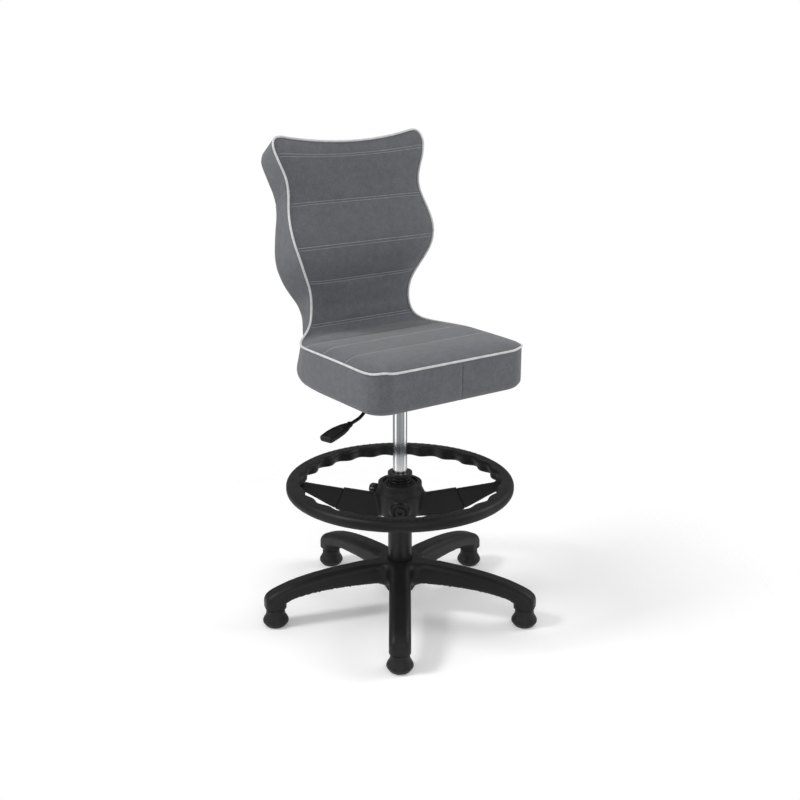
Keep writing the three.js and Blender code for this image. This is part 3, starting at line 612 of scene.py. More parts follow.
def star_field(points):
    legs, hollows = [], []
    for angle in LEG_ANGLES:
        solid, hollow = leg_field(points, angle)
        legs.append(solid)
        hollows.append(hollow)
    legs = np.sort(np.array(legs), axis=0)
    shape = soft_min(legs[0], legs[1], 30.0)
    radius = np.hypot(points[:, 0], points[:, 1])
    z = points[:, 2]
    drum = np.maximum(radius - 29.5, np.maximum(52 - z, z - STAR_TOP))
    shape = soft_min(shape, drum, 6.0)
    shape = soft_max(shape, z - STAR_TOP, 3.0)
    for hollow in hollows:
        shape = soft_max(shape, -hollow, 1.5)
    shape = soft_max(shape, STAR_BOTTOM + 0.3 - z, 1.2)
    return soft_max(shape, COLUMN_RADIUS + 0.25 - radius, 1.0)


star_step = 2.2
star_points, star_faces = iso_surface(star_field, (-300, -300, 36), (300, 304, 124), star_step)
piece("star_base", star_points, star_faces, plastic, "base", ["base_star"], 40)

glide_profile = rounded([
    (0, 0.2, 0), (19.5, 0.2, 1.0), (21, 1.2, 1), (26.0, 8.2, 1.2), (26.7, 10.0, 0.8), (26.1, 10.8, 0.3),
    (26.1, 11.6, 0.3), (26.7, 12.4, 1.0), (25.6, 16.0, 3), (20.6, 24.5, 4), (19.6, 29, 2),
    (19.3, 36.4, 0.4), (18.5, 37.0, 0.3), (18.5, 38.0, 0.3),
    (19.1, 38.6, 0.5), (18.9, 39.6, 0.5), (6.2, 39.7, 0.3), (6.2, 18.0, 0),
])
for number, centre in enumerate(glide_centres, 1):
    points, faces = turned(glide_profile, 56)
    hole = len(points) - 56
    faces.append(list(range(hole, hole + 56)))
    piece(f"glide_foot_{number}", points + [centre[0], centre[1], 0], faces, rubbery, "base",
          [f"glide_{number}"], 35)

# ---------------------------------------------------------------- column and gas lift

outer, lip = COLUMN_RADIUS, BUSHING_HIGH[0]
tube_profile = rounded([
    (7, TUBE_LOW[2] + 3, 0.5), (7, TUBE_LOW[2], 0.5), (outer, TUBE_LOW[2], 1.0), (outer, TUBE_HIGH[2], 0.8),
    (outer - 2, TUBE_HIGH[2], 0.5), (outer - 2, TUBE_LOW[2] + 3, 0.5),
])
points, faces = turned(tube_profile, 72, closed=True)
piece("column_sleeve", points, faces, painted, "base", ["column_tube"], 35)

bore = CYLINDER_HIGH[0] + 0.3
top, rim, neck = BUSHING_HIGH[2], TUBE_HIGH[2], COLUMN_RADIUS - 1.4
collar_profile = rounded([
    (bore, BUSHING_LOW[2], 0.5), (outer - 2.3, BUSHING_LOW[2], 0.5), (outer - 2.3, rim + 0.3, 0.1),
    (neck, rim + 0.3, 0.6), (neck, rim + 5.6, 0.8), (neck - 1.8, rim + 6.2, 0.5),
    (neck - 1.8, rim + 7.8, 0.5), (neck, rim + 8.4, 0.8), (neck, rim + 13.4, 0.8),
    (neck - 1.8, rim + 14.0, 0.5),
    (neck - 1.8, rim + 15.6, 0.5), (neck - 0.5, rim + 16.4, 0.6),
    (lip, top - 6.6, 1.0), (lip, top, 1.6), (bore + 1.6, top, 1.2), (bore, top - 1.6, 0.6),
])
points, faces = turned(collar_profile, 72, closed=True)
piece("guide_collar", points, faces, plastic_glossy, "base", ["guide_bushing"], 35)

# ---------------------------------------------------------------- foot ring

RING_WIDTH, RING_HEIGHT = 27.0, 25.0
RIM_INNER = RIM_RADIUS - RING_WIDTH
RIM_MIDDLE = RIM_TOP - RING_HEIGHT / 2
RIM_BOTTOM = RIM_TOP - RING_HEIGHT
ARM_ANGLES = (144.0, 324.0)
BOSS_ANGLE = 234.0
SEAM = 115.0
SCALLOPS = 24
HUB_TOP, HUB_BOTTOM = HUB_HIGH[2], HUB_LOW[2]
HUB_RADIUS = 45.5
KNOB_ANGLE, KNOB_HEIGHT = ARM_ANGLES[0] - 22, HUB_TOP - 25


def arm_field(points, angle, half, lift):
    r, q, z = turn_to(points, angle)
    reach = np.clip((RIM_RADIUS - r) / RIM_RADIUS, 0, 1)
    high = RIM_TOP - 41 * reach ** 0.9 + lift
    low = RIM_BOTTOM - 57 * np.sin(np.clip((RIM_INNER - r) / 130, 0, 1) ** 1.2 * math.pi / 2)
    flat = soft_max((z - high) * 0.98, (low - z) * 0.93, 2.0)
    return soft_max(flat, np.abs(q) - half, 4.0), r, z


def seam_at(z):
    return SEAM + np.clip((RIM_TOP - 18 - z) * 0.42, -6, 20)


def rim_field(points):
    x, y, z = points.T
    radius = np.hypot(x, y)
    angle = np.arctan2(y, x)
    wave = 0.5 * (1 + np.sin(SCALLOPS * angle))
    low_side = smooth_step(-z, -RIM_TOP + 1, -RIM_BOTTOM - 4)
    inner = RIM_INNER - 7.0 + 10.0 * wave * (0.55 + 0.45 * low_side)
    centre, half = (RIM_RADIUS + inner) / 2, (RIM_RADIUS - inner) / 2
    shape = rounded_box(np.abs(radius - centre) - half, np.abs(z - RIM_MIDDLE) - RING_HEIGHT / 2,
                        np.where(radius > centre, 10.5, 7.0))
    for arm_angle in ARM_ANGLES:
        arm, r, z = arm_field(points, arm_angle, 6.4, -1.2)
        arm = soft_max(arm, np.maximum(seam_at(z) + 0.35 - r, r - (RIM_INNER + 10)), 0.8)
        shape = soft_min(shape, arm, 9.0)
    return shape


ring_step = 2.2
points, faces = iso_surface(rim_field, (-242, -242, 216), (242, 242, 298), ring_step)


def grip_bumps():
    """Low pips in two staggered rows round the top of the rim."""
    shapes = []
    count = 96
    for row, (radius, lift) in enumerate(((RIM_RADIUS - 8.5, 0.0), (RIM_RADIUS - 14.5, 0.25))):
        for i in range(count):
            angle = 2 * math.pi * (i + 0.5 * row) / count
            dome = rounded([(0, 1.35, 0), (1.5, 1.2, 0.6), (2.4, 0.0, 0.4), (2.5, -1.6, 0), (0, -1.6, 0)], 2)
            pip, pip_faces = turned(dome[::-1], 8)
            pip[:, 1] *= 1.9
            c, s = math.cos(angle), math.sin(angle)
            pip = np.stack([c * pip[:, 0] - s * pip[:, 1], s * pip[:, 0] + c * pip[:, 1], pip[:, 2]], 1)
            shapes.append((pip + [radius * c, radius * s, RIM_TOP - 1.2 + lift], pip_faces))
    return shapes


points, faces = merged([(points, faces)] + grip_bumps())
piece("foot_ring_rim", points, faces, plastic, "foot_ring", ["foot_ring"], 40)


def hub_field(points):
    x, y, z = points.T
    radius = np.hypot(x, y)
    flare = HUB_TOP - 21
    side = np.interp(z, [HUB_BOTTOM, HUB_BOTTOM + 4, flare - 8, flare - 2, flare + 3, flare + 9, HUB_TOP],
                     [HUB_RADIUS - 6, HUB_RADIUS - 2.6, HUB_RADIUS + 3.6, HUB_RADIUS + 5.0, HUB_RADIUS + 3.0,
                      HUB_RADIUS + 0.2, HUB_RADIUS])
    shape = soft_max(radius - side, np.maximum(HUB_BOTTOM - z, z - HUB_TOP), 3.0)
    for arm_angle in ARM_ANGLES:
        arm, r, height = arm_field(points, arm_angle, 7.8, 0.6)
        arm = soft_max(arm, np.maximum(r - seam_at(height), 30 - r), 0.8)
        shape = soft_min(shape, arm, 7.0)
    r, q, height = turn_to(points, BOSS_ANGLE)
    boss_height = HUB_TOP - 49
    away = np.hypot(q, height - boss_height)
    boss = soft_max(away - 19.5, np.maximum(r - (HUB_RADIUS + 15), 28 - r), 3.5)
    ridge = soft_max(np.hypot(q, np.maximum(height - boss_height, 0) * 0.6) - 13.0,
                     np.maximum(r - (HUB_RADIUS + 9) + 0.28 * (height - boss_height), 28 - r), 5.0)
    shape = soft_min(shape, soft_min(boss, np.maximum(ridge, boss_height - 4 - height), 5.0), 9.0)
    r, q, height = turn_to(points, KNOB_ANGLE)
    knob_boss = soft_max(np.hypot(q, height - KNOB_HEIGHT) - 9.5,
                         np.maximum(r - (HUB_RADIUS + 6), 28 - r), 1.5)
    shape = soft_min(shape, knob_boss, 4.0)
    recess = np.maximum(np.abs(radius - COLUMN_RADIUS - 7.25) - 3.75, HUB_TOP - 4 - z)
    shape = soft_max(shape, -recess, 1.2)
    r, q, height = turn_to(points, BOSS_ANGLE)
    well = np.maximum(np.hypot(q, height - boss_height) - 12.8, HUB_RADIUS + 6 - r)
    shape = soft_max(shape, -well, 1.0)
    return soft_max(shape, COLUMN_RADIUS + 0.3 - radius, 0.8)


hub_step = 1.6
points, faces = iso_surface(hub_field, (-118, -118, 208), (118, 118, 292), hub_step)
piece("ring_hub_shell", points, faces, plastic, "foot_ring", ["ring_hub"], 40)


def place_radial(points, angle, height):
    """Points turned about z, laid so that their z axis points outwards at that angle."""
    x, y, z = points.T
    c, s = math.cos(math.radians(angle)), math.sin(math.radians(angle))
    return np.stack([c * z + s * x, s * z - c * x, y + height], 1)


def knob_mesh():
    """Six soft lobes with a domed face, on a short stem."""
    steps = [(0.0, 0.82), (0.6, 0.95), (2.0, 1.0), (12.5, 0.96), (14.8, 0.86), (15.8, 0.66), (16.0, 0.4)]
    segments, rows, points = 72, [], []
    start = HUB_RADIUS + 6.3
    angles = np.linspace(0, 2 * math.pi, segments, endpoint=False)
    for depth, share in steps:
        reach = (10.6 + 0.85 * np.cos(6 * angles) * smooth_step(share, 0.5, 0.9)) * share
        rows.append(len(points))
        points.extend(zip(reach * np.cos(angles), reach * np.sin(angles), np.full(segments, start + depth)))
    faces = []
    for low, high in zip(rows, rows[1:]):
        faces.extend([low + i, low + (i + 1) % segments, high + (i + 1) % segments, high + i]
                     for i in range(segments))
    points.append((0, 0, start + 15.6))
    tip = len(points) - 1
    faces.extend([rows[-1] + i, rows[-1] + (i + 1) % segments, tip] for i in range(segments))
    points.append((0, 0, start))
    base = len(points) - 1
    faces.extend([(i + 1) % segments, i, base] for i in range(segments))
    return np.array(points, float), faces


stem_points, stem_faces = turned(rounded([(0, COLUMN_RADIUS + 0.3, 0), (4, COLUMN_RADIUS + 0.3, 0.5),
                                          (4, HUB_RADIUS + 8, 0.2), (0, HUB_RADIUS + 8, 0)]), 24)
points, faces = merged([knob_mesh(), (stem_points, stem_faces)])
piece("clamp_knob", place_radial(points, KNOB_ANGLE, KNOB_HEIGHT), faces, plastic_glossy,
      "ring_knob", ["ring_knob"], 40)

# ---------------------------------------------------------------- lever

HANDLE_END = np.array([-223.0, -66.0, 439.0])
HANDLE_LENGTH = 70.0
along = np.array([-77.0, -22.0, -14.0])
along /= np.linalg.norm(along)
HANDLE_START = HANDLE_END - HANDLE_LENGTH * along
across = np.cross((0, 0, 1), along)
across /= np.linalg.norm(across)
rise = np.cross(along, across)


def handle_field(points):
    """A paddle with a slim neck, swelling to a thick square end, in its own frame."""
    a, q, h = points.T
    share = np.clip(a / HANDLE_LENGTH, 0, 1)
    half = np.interp(share, [0, 0.06, 0.2, 0.4, 0.52, 0.7, 0.85, 1.0],
                     [6.2, 7.4, 11.6, 15.6, 16.6, 16.6, 15.8, 14.6])
    thick = np.interp(share, [0, 0.15, 0.45, 0.8, 1.0], [5.4, 5.6, 5.2, 5.8, 6.0])
    middle = 0.9 * np.sin(share * math.pi)
    body = soft_max(np.abs(q) - half, np.abs(h - middle) - thick, 5.0)
    body = soft_max(body, np.maximum(-a, a - HANDLE_LENGTH), 4.0)
    dish = np.hypot((a - 0.63 * HANDLE_LENGTH) / 1.75, q) - 11.0
    dish = np.maximum(dish, thick + middle - 1.1 - h)
    return soft_max(body, -dish, 1.2)


points, faces = iso_surface(handle_field, (-4, -20, -10), (88, 20, 11), 1.25)
points = HANDLE_START + points[:, :1] * along + points[:, 1:2] * across + points[:, 2:] * rise
piece("lever_paddle", points, faces, plastic, "lever", ["lever_handle"], 40)


lever_z = 486.0
rod_route = smooth_line([(5, 0, lever_z), (-45, 0, lever_z), (-57, 0, lever_z), (-97, -22, 467),
                         (-122, -35, 457), HANDLE_START - 16 * along, HANDLE_START + 26 * along], 10)
points, faces = tube(rod_route, 3.5, 20)
piece("lever_bar", points, faces, painted, "lever", ["lever_rod"], 50)
ferrule_profile = rounded([(3.7, -6, 0.5), (5.6, -6, 0.8), (6.4, -2, 0.5), (5.2, 2.4, 0.8), (3.7, 3, 0.3)])
points, faces = turned(ferrule_profile, 28, closed=True)
points = HANDLE_START + points[:, 2:] * along + points[:, :1] * across + points[:, 1:2] * rise
piece("lever_ferrule", points, faces, plastic_glossy, "lever", [], 40)

# ---------------------------------------------------------------- upholstery

# The sitting face's edge: half width, y and height, from the seat's front to the top.
SEAT_HALF = CUSHION_HIGH[0] - 3.0
CORNER = 44.0
SEAT_BOTTOM = UNDER_LOW[2] + 1.5
EDGE = [
    (188, -182, 581.5), (187, -118, 583), (185.5, -40, 584), (184.5, 24, 584), (181.5, 62, 583),
    (175, 93, 582), (154, 123.5, 586.5), (144, 128, 592), (134.5, 132, 598), (125.5, 134, 612.5),
    (120.5, 135.5, 645), (125, 131, 679), (143, 119.5, 715), (161, 108.5, 751), (170.5, 112.5, 783),
    (170.5, 125.5, 812), (165, 141, 841), (158, 150.5, 871), (160.5, 152.5, 902), (173, 155.5, 933),
    (181.5, 165.5, 963), (181, 172, 976), (181, 178, 985),
]
TOP_CORNER_X, TOP_Z, TOP_DIP = 168.0, BACK_HIGH[2] - 0.6, 17.0


def soften(values, spread):
    """A running average with a bell-shaped weight, keeping both ends."""
    reach = int(3 * spread)
    bell = np.exp(-0.5 * (np.arange(-reach, reach + 1) / spread) ** 2)
    bell /= bell.sum()
    before, after = 2 * values[0] - values[reach:0:-1], 2 * values[-1] - values[-2:-reach - 2:-1]
    return np.convolve(np.concatenate([before, values, after]), bell, "valid")


edge = smooth_line(EDGE, 12)
run = np.concatenate([[0], np.cumsum(np.linalg.norm(np.diff(edge, axis=0), axis=1))])
fine = np.arange(0, run[-1], 2.0)
edge = np.stack([soften(np.interp(fine, run, edge[:, a]), 3.2) for a in range(3)], 1)
V = np.concatenate([[0], np.cumsum(np.hypot(np.diff(edge[:, 1]), np.diff(edge[:, 2])))])
EDGE_W, EDGE_Y, EDGE_Z = edge.T


def v_at_height(z):
    back = EDGE_Z > 590
    return float(np.interp(z, EDGE_Z[back], V[back]))


def v_at_y(y):
    seat = EDGE_Z < 586
    return float(np.interp(y, EDGE_Y[seat], V[seat]))


slope_y, slope_z = np.gradient(EDGE_Y, V), np.gradient(EDGE_Z, V)
size = np.hypot(slope_y, slope_z)
EDGE_Y = EDGE_Y + 3.0 * smooth_step(EDGE_Z, 590, 640)
NORMAL_Y, NORMAL_Z = -slope_z / size, slope_y / size

# The rear of the back, from the waist to the top: the face's height, how far behind it
# the rear stands, and how far below it.
REAR = np.array([
    (640, 44, 43), (655, 50, 43), (680, 62, 45), (700, 71, 50), (740, 88, 57), (775, 88, 61), (800, 81, 62),
    (835, 66, 57), (871, 60, 50), (917, 63, 44), (950, 60, 42), (985, 58, 44),
], float)
waist_v = v_at_height(646)
bend_v = v_at_y(75)
back_behind = soften(np.interp(EDGE_Z, REAR[:, 0], REAR[:, 1]), 5.0)
back_below = soften(np.interp(EDGE_Z, REAR[:, 0], REAR[:, 2]), 5.0)
waist_y = float(np.interp(waist_v, V, EDGE_Y + back_behind))
waist_z = float(np.interp(waist_v, V, EDGE_Z - back_below))
rear_bend = bezier((75, SEAT_BOTTOM), (waist_y - 36, SEAT_BOTTOM), (waist_y - 3, SEAT_BOTTOM + 36),
                   (waist_y, waist_z), 60)


def face_point(u, v):
    return np.stack([u, np.interp(v, V, EDGE_Y), np.interp(v, V, EDGE_Z)], -1)


def face_normal(v):
    n = np.stack([np.zeros_like(v), np.interp(v, V, NORMAL_Y), np.interp(v, V, NORMAL_Z)], -1)
    return n / np.linalg.norm(n, axis=-1, keepdims=True)


def rear_point(u, v):
    share = np.clip((v - bend_v) / (waist_v - bend_v), 0, 1) * (len(rear_bend) - 1)
    k = np.arange(len(rear_bend))
    bend_y, bend_z = np.interp(share, k, rear_bend[:, 0]), np.interp(share, k, rear_bend[:, 1])
    y, z = np.interp(v, V, EDGE_Y), np.interp(v, V, EDGE_Z)
    y = np.where(v < bend_v, y, np.where(v < waist_v, bend_y, y + np.interp(v, V, back_behind)))
    z = np.where(v < bend_v, SEAT_BOTTOM, np.where(v < waist_v, bend_z, z - np.interp(v, V, back_below)))
    return np.stack([u, y, z], -1)


# Where the sewn lines cross the face: on the back in pairs, on the seat one by one.
PAIRED = [v_at_height(z) for z in (607, 699, 770, 852, 947)]
SINGLE = [v_at_y(y) for y in (-78, 0, 76)]
PAIR_HALF = 2.6
SIDE_SEAM = v_at_height(889)
FRONT_SEAM_X = 15.0

corner_turn = math.pi / 4
corner_v = CORNER * (1 - math.cos(corner_turn))
corner_u = SEAT_HALF - CORNER + CORNER * math.sin(corner_turn)
top_corner_v = v_at_height(TOP_Z - 4.2)
top_corner_u = 175.2


def side_half_width(v):
    """Half width of the face at a row's end, with the rounded corners."""
    low = np.clip(CORNER - v, 0, CORNER)
    front = np.sqrt(np.maximum(CORNER ** 2 - low ** 2, 0)) - CORNER
    plain = np.interp(v, V, EDGE_W)
    pull = smooth_step(v, top_corner_v - 16, top_corner_v) ** 1.4
    plain = np.minimum(plain, SEAT_HALF)
    return plain + front + pull * (top_corner_u - np.interp(top_corner_v, V, EDGE_W))


def spread_values(low, high, step, marks, clear):
    """Evenly spread values between two ends, with the marks put in."""
    count = int(round((high - low) / step))
    plain = [v for v in np.linspace(low, high, count + 1) if all(abs(v - m) > clear for m in marks)]
    for end in (low, high):
        if end not in plain and all(abs(end - m) > 1e-6 for m in marks):
            plain.append(end)
    return np.array(sorted(plain + [m for m in marks if low < m < high]))


row_marks, sewn_rows = [], []
for v in PAIRED:
    row_marks += [v - PAIR_HALF - 3.2, v - PAIR_HALF, v, v + PAIR_HALF, v + PAIR_HALF + 3.2]
    sewn_rows += [v - PAIR_HALF, v + PAIR_HALF]
for v in SINGLE:
    row_marks += [v - 3.2, v, v + 3.2]
    sewn_rows.append(v)
row_marks += [SIDE_SEAM - 2.0, SIDE_SEAM, SIDE_SEAM + 2.0]
coarse = 7.2
row_v = spread_values(corner_v, top_corner_v, coarse, row_marks, 0.42 * coarse)

flat_front = SEAT_HALF - CORNER
front_length = flat_front + CORNER * corner_turn
share = np.linspace(0, 1, 25)
share = 0.55 * share + 0.45 * np.sin(share * math.pi / 2)
share = np.sort(np.concatenate([share[:-1], [1 - 3.0 / SEAT_HALF, 1.0]]))
columns = np.concatenate([-share[:0:-1], share])
seam_share = FRONT_SEAM_X / front_length
columns = np.array(sorted([c for c in columns if abs(c - seam_share) > 0.02]
                          + [seam_share - 0.010, seam_share, seam_share + 0.010]))
seam_column = int(np.argmin(np.abs(columns - seam_share)))


def front_edge(t):
    s = np.abs(t) * front_length
    turn = np.clip(s - flat_front, 0, None) / CORNER
    u = np.minimum(s, flat_front) + CORNER * np.sin(turn)
    return np.sign(t) * u, CORNER * (1 - np.cos(turn))


top_x = np.concatenate([np.linspace(0, 150, 61), [156, 161, 165, 168.6, 172, 175.2]])
top_z = TOP_Z - TOP_DIP + TOP_DIP * (top_x / TOP_CORNER_X) ** 2
top_z[-6:] = TOP_Z - np.array([1.5, 0.7, 0.25, 0.5, 1.9, 4.2])
top_run = np.concatenate([[0], np.cumsum(np.hypot(np.diff(top_x), np.diff(top_z)))])
top_v = np.array([v_at_height(z) for z in top_z])


def top_edge(t):
    s = np.abs(t) * top_run[-1]
    return np.sign(t) * np.interp(s, top_run, top_x), np.interp(s, top_run, top_v)


def plan_grid():
    """Rows and columns of (u, v) over the sitting face, laid flat."""
    t = columns[None, :]
    v_side = row_v[:, None]
    half = side_half_width(v_side)
    near_front = np.clip(1 - (v_side - corner_v) / 60, 0, 1) ** 2
    near_top = np.clip(1 - (top_corner_v - v_side) / 100, 0, 1) ** 2
    front_u, front_v = front_edge(t)
    rim_u, rim_v = top_edge(t)
    plain = 1 - near_front - near_top
    u = half * (near_front * front_u / corner_u + near_top * rim_u / top_corner_u + plain * t)
    v = v_side - near_front * (corner_v - front_v) - near_top * (top_corner_v - rim_v)
    return u, v


U, W = plan_grid()
rows, cols = U.shape
half_width = side_half_width(row_v)[:, None] + 0 * U


def crown(u, v, half):
    """How far the padding stands out of the plane of its edges."""
    side = np.clip(half - np.abs(u), 0, None)
    ends = np.minimum(v, np.interp(np.abs(u), top_x, top_v) - v).clip(0)
    away = 1 / np.sqrt(1 / (side + 0.1) ** 2 + 1 / (ends + 0.1) ** 2)
    rise_there = 1 - (1 - np.clip(away / 54, 0, 1)) ** np.where(v < v_at_y(112), 3.8, 2.6)
    seat_part = 1 - smooth_step(v, v_at_y(-20), v_at_y(112))
    back_part = smooth_step(v, v_at_height(600), v_at_height(680))
    return rise_there * (13.5 * seat_part + 5.5 * back_part + 2.0 * (1 - seat_part) * (1 - back_part))


face = face_point(U, W) + crown(U, W, half_width)[..., None] * face_normal(W)

# The rear: the same grid, drawn in from its outline by the rounding of its edge.
ROUNDING = 16.0
far_v = np.interp(np.abs(U), top_x, top_v)
U_in = U * (1 - ROUNDING / half_width)
W_in = W + ROUNDING * np.exp(-W / 30) - ROUNDING * np.exp(-(far_v - W).clip(0) / 30)
rear = rear_point(U_in, W_in)
rear_full = rear_point(U, W)

loop = ([(0, j) for j in range(cols)] + [(i, cols - 1) for i in range(1, rows)]
        + [(rows - 1, j) for j in range(cols - 2, -1, -1)] + [(i, 0) for i in range(rows - 2, 0, -1)])
loop = loop[seam_column:] + loop[:seam_column]
loop_i, loop_j = np.array(loop).T
edge_line = face_point(U, W)[loop_i, loop_j]
outer_line = rear_full[loop_i, loop_j]
inner_line = rear[loop_i, loop_j]
perimeter = np.concatenate([[0], np.cumsum(np.linalg.norm(np.diff(edge_line, axis=0), axis=1))])
depth = outer_line - edge_line
depth_size = np.linalg.norm(depth, axis=1)[:, None]
into = depth / depth_size

rings, ring_depths = [], []
straight = depth_size - ROUNDING
for part in (0.03, 0.09, 0.2, 0.32, 0.44, 0.56, 0.68, 0.8, 0.91, 1.0):
    rings.append(edge_line + into * straight * part)
    ring_depths.append(straight[:, 0] * part)
wall_rings = len(rings)
for turn in (0.3, 0.62, 0.95, 1.27):
    start = edge_line + into * straight
    rings.append(start + (outer_line - start) * math.sin(turn)
                 + (inner_line - outer_line) * (1 - math.cos(turn)))
    ring_depths.append(straight[:, 0] + ROUNDING * turn)

around = len(loop)
face_count = rows * cols
ring_start = face_count
rear_start = face_count + len(rings) * around
shell_points = np.concatenate([face.reshape(-1, 3)] + rings + [rear.reshape(-1, 3)])


def grid_faces(start, flip):
    i, j = np.meshgrid(np.arange(rows - 1), np.arange(cols - 1), indexing="ij")
    a = start + (i * cols + j).ravel()
    quads = np.stack([a, a + 1, a + cols + 1, a + cols], 1)
    return quads[:, ::-1] if flip else quads


def band_faces(upper, lower):
    nxt = np.roll(np.arange(around), -1)
    k = np.arange(around)
    return np.stack([upper[k], lower[k], lower[nxt], upper[nxt]], 1)


loop_on_face = loop_i * cols + loop_j
levels = [loop_on_face] + [ring_start + n * around + np.arange(around) for n in range(len(rings))]
levels.append(rear_start + loop_on_face)
bands = [band_faces(a, b) for a, b in zip(levels, levels[1:])]
shell_faces = np.concatenate([grid_faces(0, False)] + bands + [grid_faces(rear_start, True)])

# Cloth directions: across and along on the panels, round and down on the sides.
flat_uv = np.stack([U, W], -1).reshape(-1, 2)
lengths = np.concatenate([perimeter, [perimeter[-1] + np.linalg.norm(edge_line[-1] - edge_line[0])]])
corner_uv = [flat_uv[grid_faces(0, False)]]
depth_rows = [np.zeros(around)] + ring_depths + [ring_depths[-1] + 3]
for upper, lower in zip(depth_rows, depth_rows[1:]):
    nxt = np.roll(np.arange(around), -1)
    corner_uv.append(np.stack([
        np.stack([lengths[:-1], upper], 1), np.stack([lengths[:-1], lower], 1),
        np.stack([lengths[1:], lower[nxt]], 1), np.stack([lengths[1:], upper[nxt]], 1)], 1))
corner_uv.append(flat_uv[grid_faces(0, True)])
corner_uv = np.concatenate([part.reshape(-1, 2) for part in corner_uv]) * MM

upholstery = piece("upholstery", shell_points, shell_faces, cloth, "seat",
                   ["seat_cushion", "back_cushion", "seat_underside", "back_rear_cover"])
weave_layer = upholstery.data.uv_layers.new(name="weave")
weave_layer.data.foreach_set("uv", corner_uv.ravel())


def point_normals(points, quads):
    diagonal_a = points[quads[:, 2]] - points[quads[:, 0]]
    diagonal_b = points[quads[:, 3]] - points[quads[:, 1]]
    normal = np.cross(diagonal_a, diagonal_b)
    total = np.zeros_like(points)
    for k in range(4):
        for a in range(3):
            total[:, a] += np.bincount(quads[:, k], normal[:, a], len(points))
    return total / np.maximum(np.linalg.norm(total, axis=1), 1e-9)[:, None]


def sewn_weights():
    """How firmly each point is held while the padding swells."""
    weight = np.zeros(len(shell_points))
    grid_v = np.repeat(row_v, cols)
    for v in sewn_rows:
        weight[:face_count][np.abs(grid_v - v) < 0.1] = 0.9
    weight[loop_on_face] = 1.0
    weight[ring_start:ring_start + around] = 1.0
    walls = weight[ring_start:rear_start].reshape(-1, around)
    walls[1:wall_rings - 1] = 0.35
    walls[wall_rings - 1:] = 0.85
    rear_v = W_in.ravel()
    weight[rear_start:] = np.where(rear_v < waist_v - 40, 1.0, 0.0)
    weight[rear_start + loop_on_face] = 0.95
    walls[:, 0] = 0.9
    side_loop = np.abs(row_v[loop_i] - SIDE_SEAM) < 0.1
    side_loop &= (loop_j == 0) | (loop_j == cols - 1)
    walls[:, side_loop] = 0.9
    return weight


def swell(target, weights, frames, cap):
    """Blows the padding up as cloth, and moves each point at most the cap."""
    scene = bpy.context.scene
    group = target.vertex_groups.new(name="sewn")
    for level in np.unique(weights):
        if level > 0:
            group.add(np.nonzero(weights == level)[0].tolist(), float(level), "REPLACE")
    modifier = target.modifiers.new("swell", "CLOTH")
    settings = modifier.settings
    settings.quality = 6
    settings.mass = 0.3
    settings.tension_stiffness = settings.compression_stiffness = 20
    settings.shear_stiffness = 8
    settings.bending_stiffness = 2
    settings.air_damping = 2
    settings.use_pressure = True
    settings.uniform_pressure_force = 4
    settings.vertex_group_mass = "sewn"
    settings.effector_weights.gravity = 0
    modifier.collision_settings.use_collision = False
    for number in range(1, frames + 1):
        scene.frame_set(number)
    solved = target.evaluated_get(bpy.context.evaluated_depsgraph_get())
    after = np.empty(len(target.data.vertices) * 3, np.float32)
    solved.data.vertices.foreach_get("co", after)
    target.modifiers.remove(modifier)
    scene.frame_set(1)
    target.vertex_groups.remove(group)
    after = after.reshape(-1, 3) / MM - ORIGIN
    move = after - shell_points
    size = np.linalg.norm(move, axis=1)[:, None]
    return move * (cap * np.tanh(size / cap) / np.maximum(size, 1e-9))


final = shell_points.copy()
final += swell(upholstery, sewn_weights(), 20, 3.6)
normals = point_normals(final, shell_faces)
grid_v = np.repeat(row_v, cols)
pull = np.zeros(len(final))
inner_columns = np.tile(smooth_step(1 - np.abs(columns), 0.004, 0.05), rows)
for v in sewn_rows:
    on_row = np.abs(grid_v - v) < 0.1
    pull[:face_count][on_row] = -0.85 * inner_columns[on_row]
for v in PAIRED:
    on_row = np.abs(grid_v - v) < 0.1
    pull[:face_count][on_row] = 0.25 * inner_columns[on_row]
walls = pull[ring_start:rear_start].reshape(-1, around)
walls[1:, 0] = -2.6
walls[wall_rings + 1] = -0.9
on_side_seam = (np.abs(row_v[loop_i] - SIDE_SEAM) < 0.1) & ((loop_j == 0) | (loop_j == cols - 1))
walls[1:wall_rings + 3, on_side_seam] = -1.2
final += pull[:, None] * normals
final[rear_start:, 2] = np.maximum(final[rear_start:, 2], SEAT_BOTTOM + 0.3)
upholstery.data.vertices.foreach_set("co", to_row(final).astype(np.float32).ravel())
upholstery.data.update()
subdivision = upholstery.modifiers.new("smooth", "SUBSURF")
subdivision.levels = subdivision.render_levels = 1

# Piping round the whole sitting face.
outwards = point_normals(shell_points, shell_faces)[loop_on_face] * 0.9
piping_line = final[loop_on_face] + outwards
closed_line = np.concatenate([piping_line, piping_line[:1]])
piping_run = np.concatenate([[0], np.cumsum(np.linalg.norm(np.diff(closed_line, axis=0), axis=1))])
spots = np.linspace(0, piping_run[-1], 900, endpoint=False)
piping_line = np.stack([np.interp(spots, piping_run, closed_line[:, a]) for a in range(3)], 1)
for _ in range(24):
    piping_line = 0.5 * piping_line + 0.25 * (np.roll(piping_line, 1, 0) + np.roll(piping_line, -1, 0))
points, faces = tube(piping_line, 2.2, 14, closed=True)
piping = piece("piping", points, faces, piping_cloth, "seat", [])

# ---------------------------------------------------------------- stitching

depsgraph = bpy.context.evaluated_depsgraph_get()
surface = BVHTree.FromObject(upholstery, depsgraph)


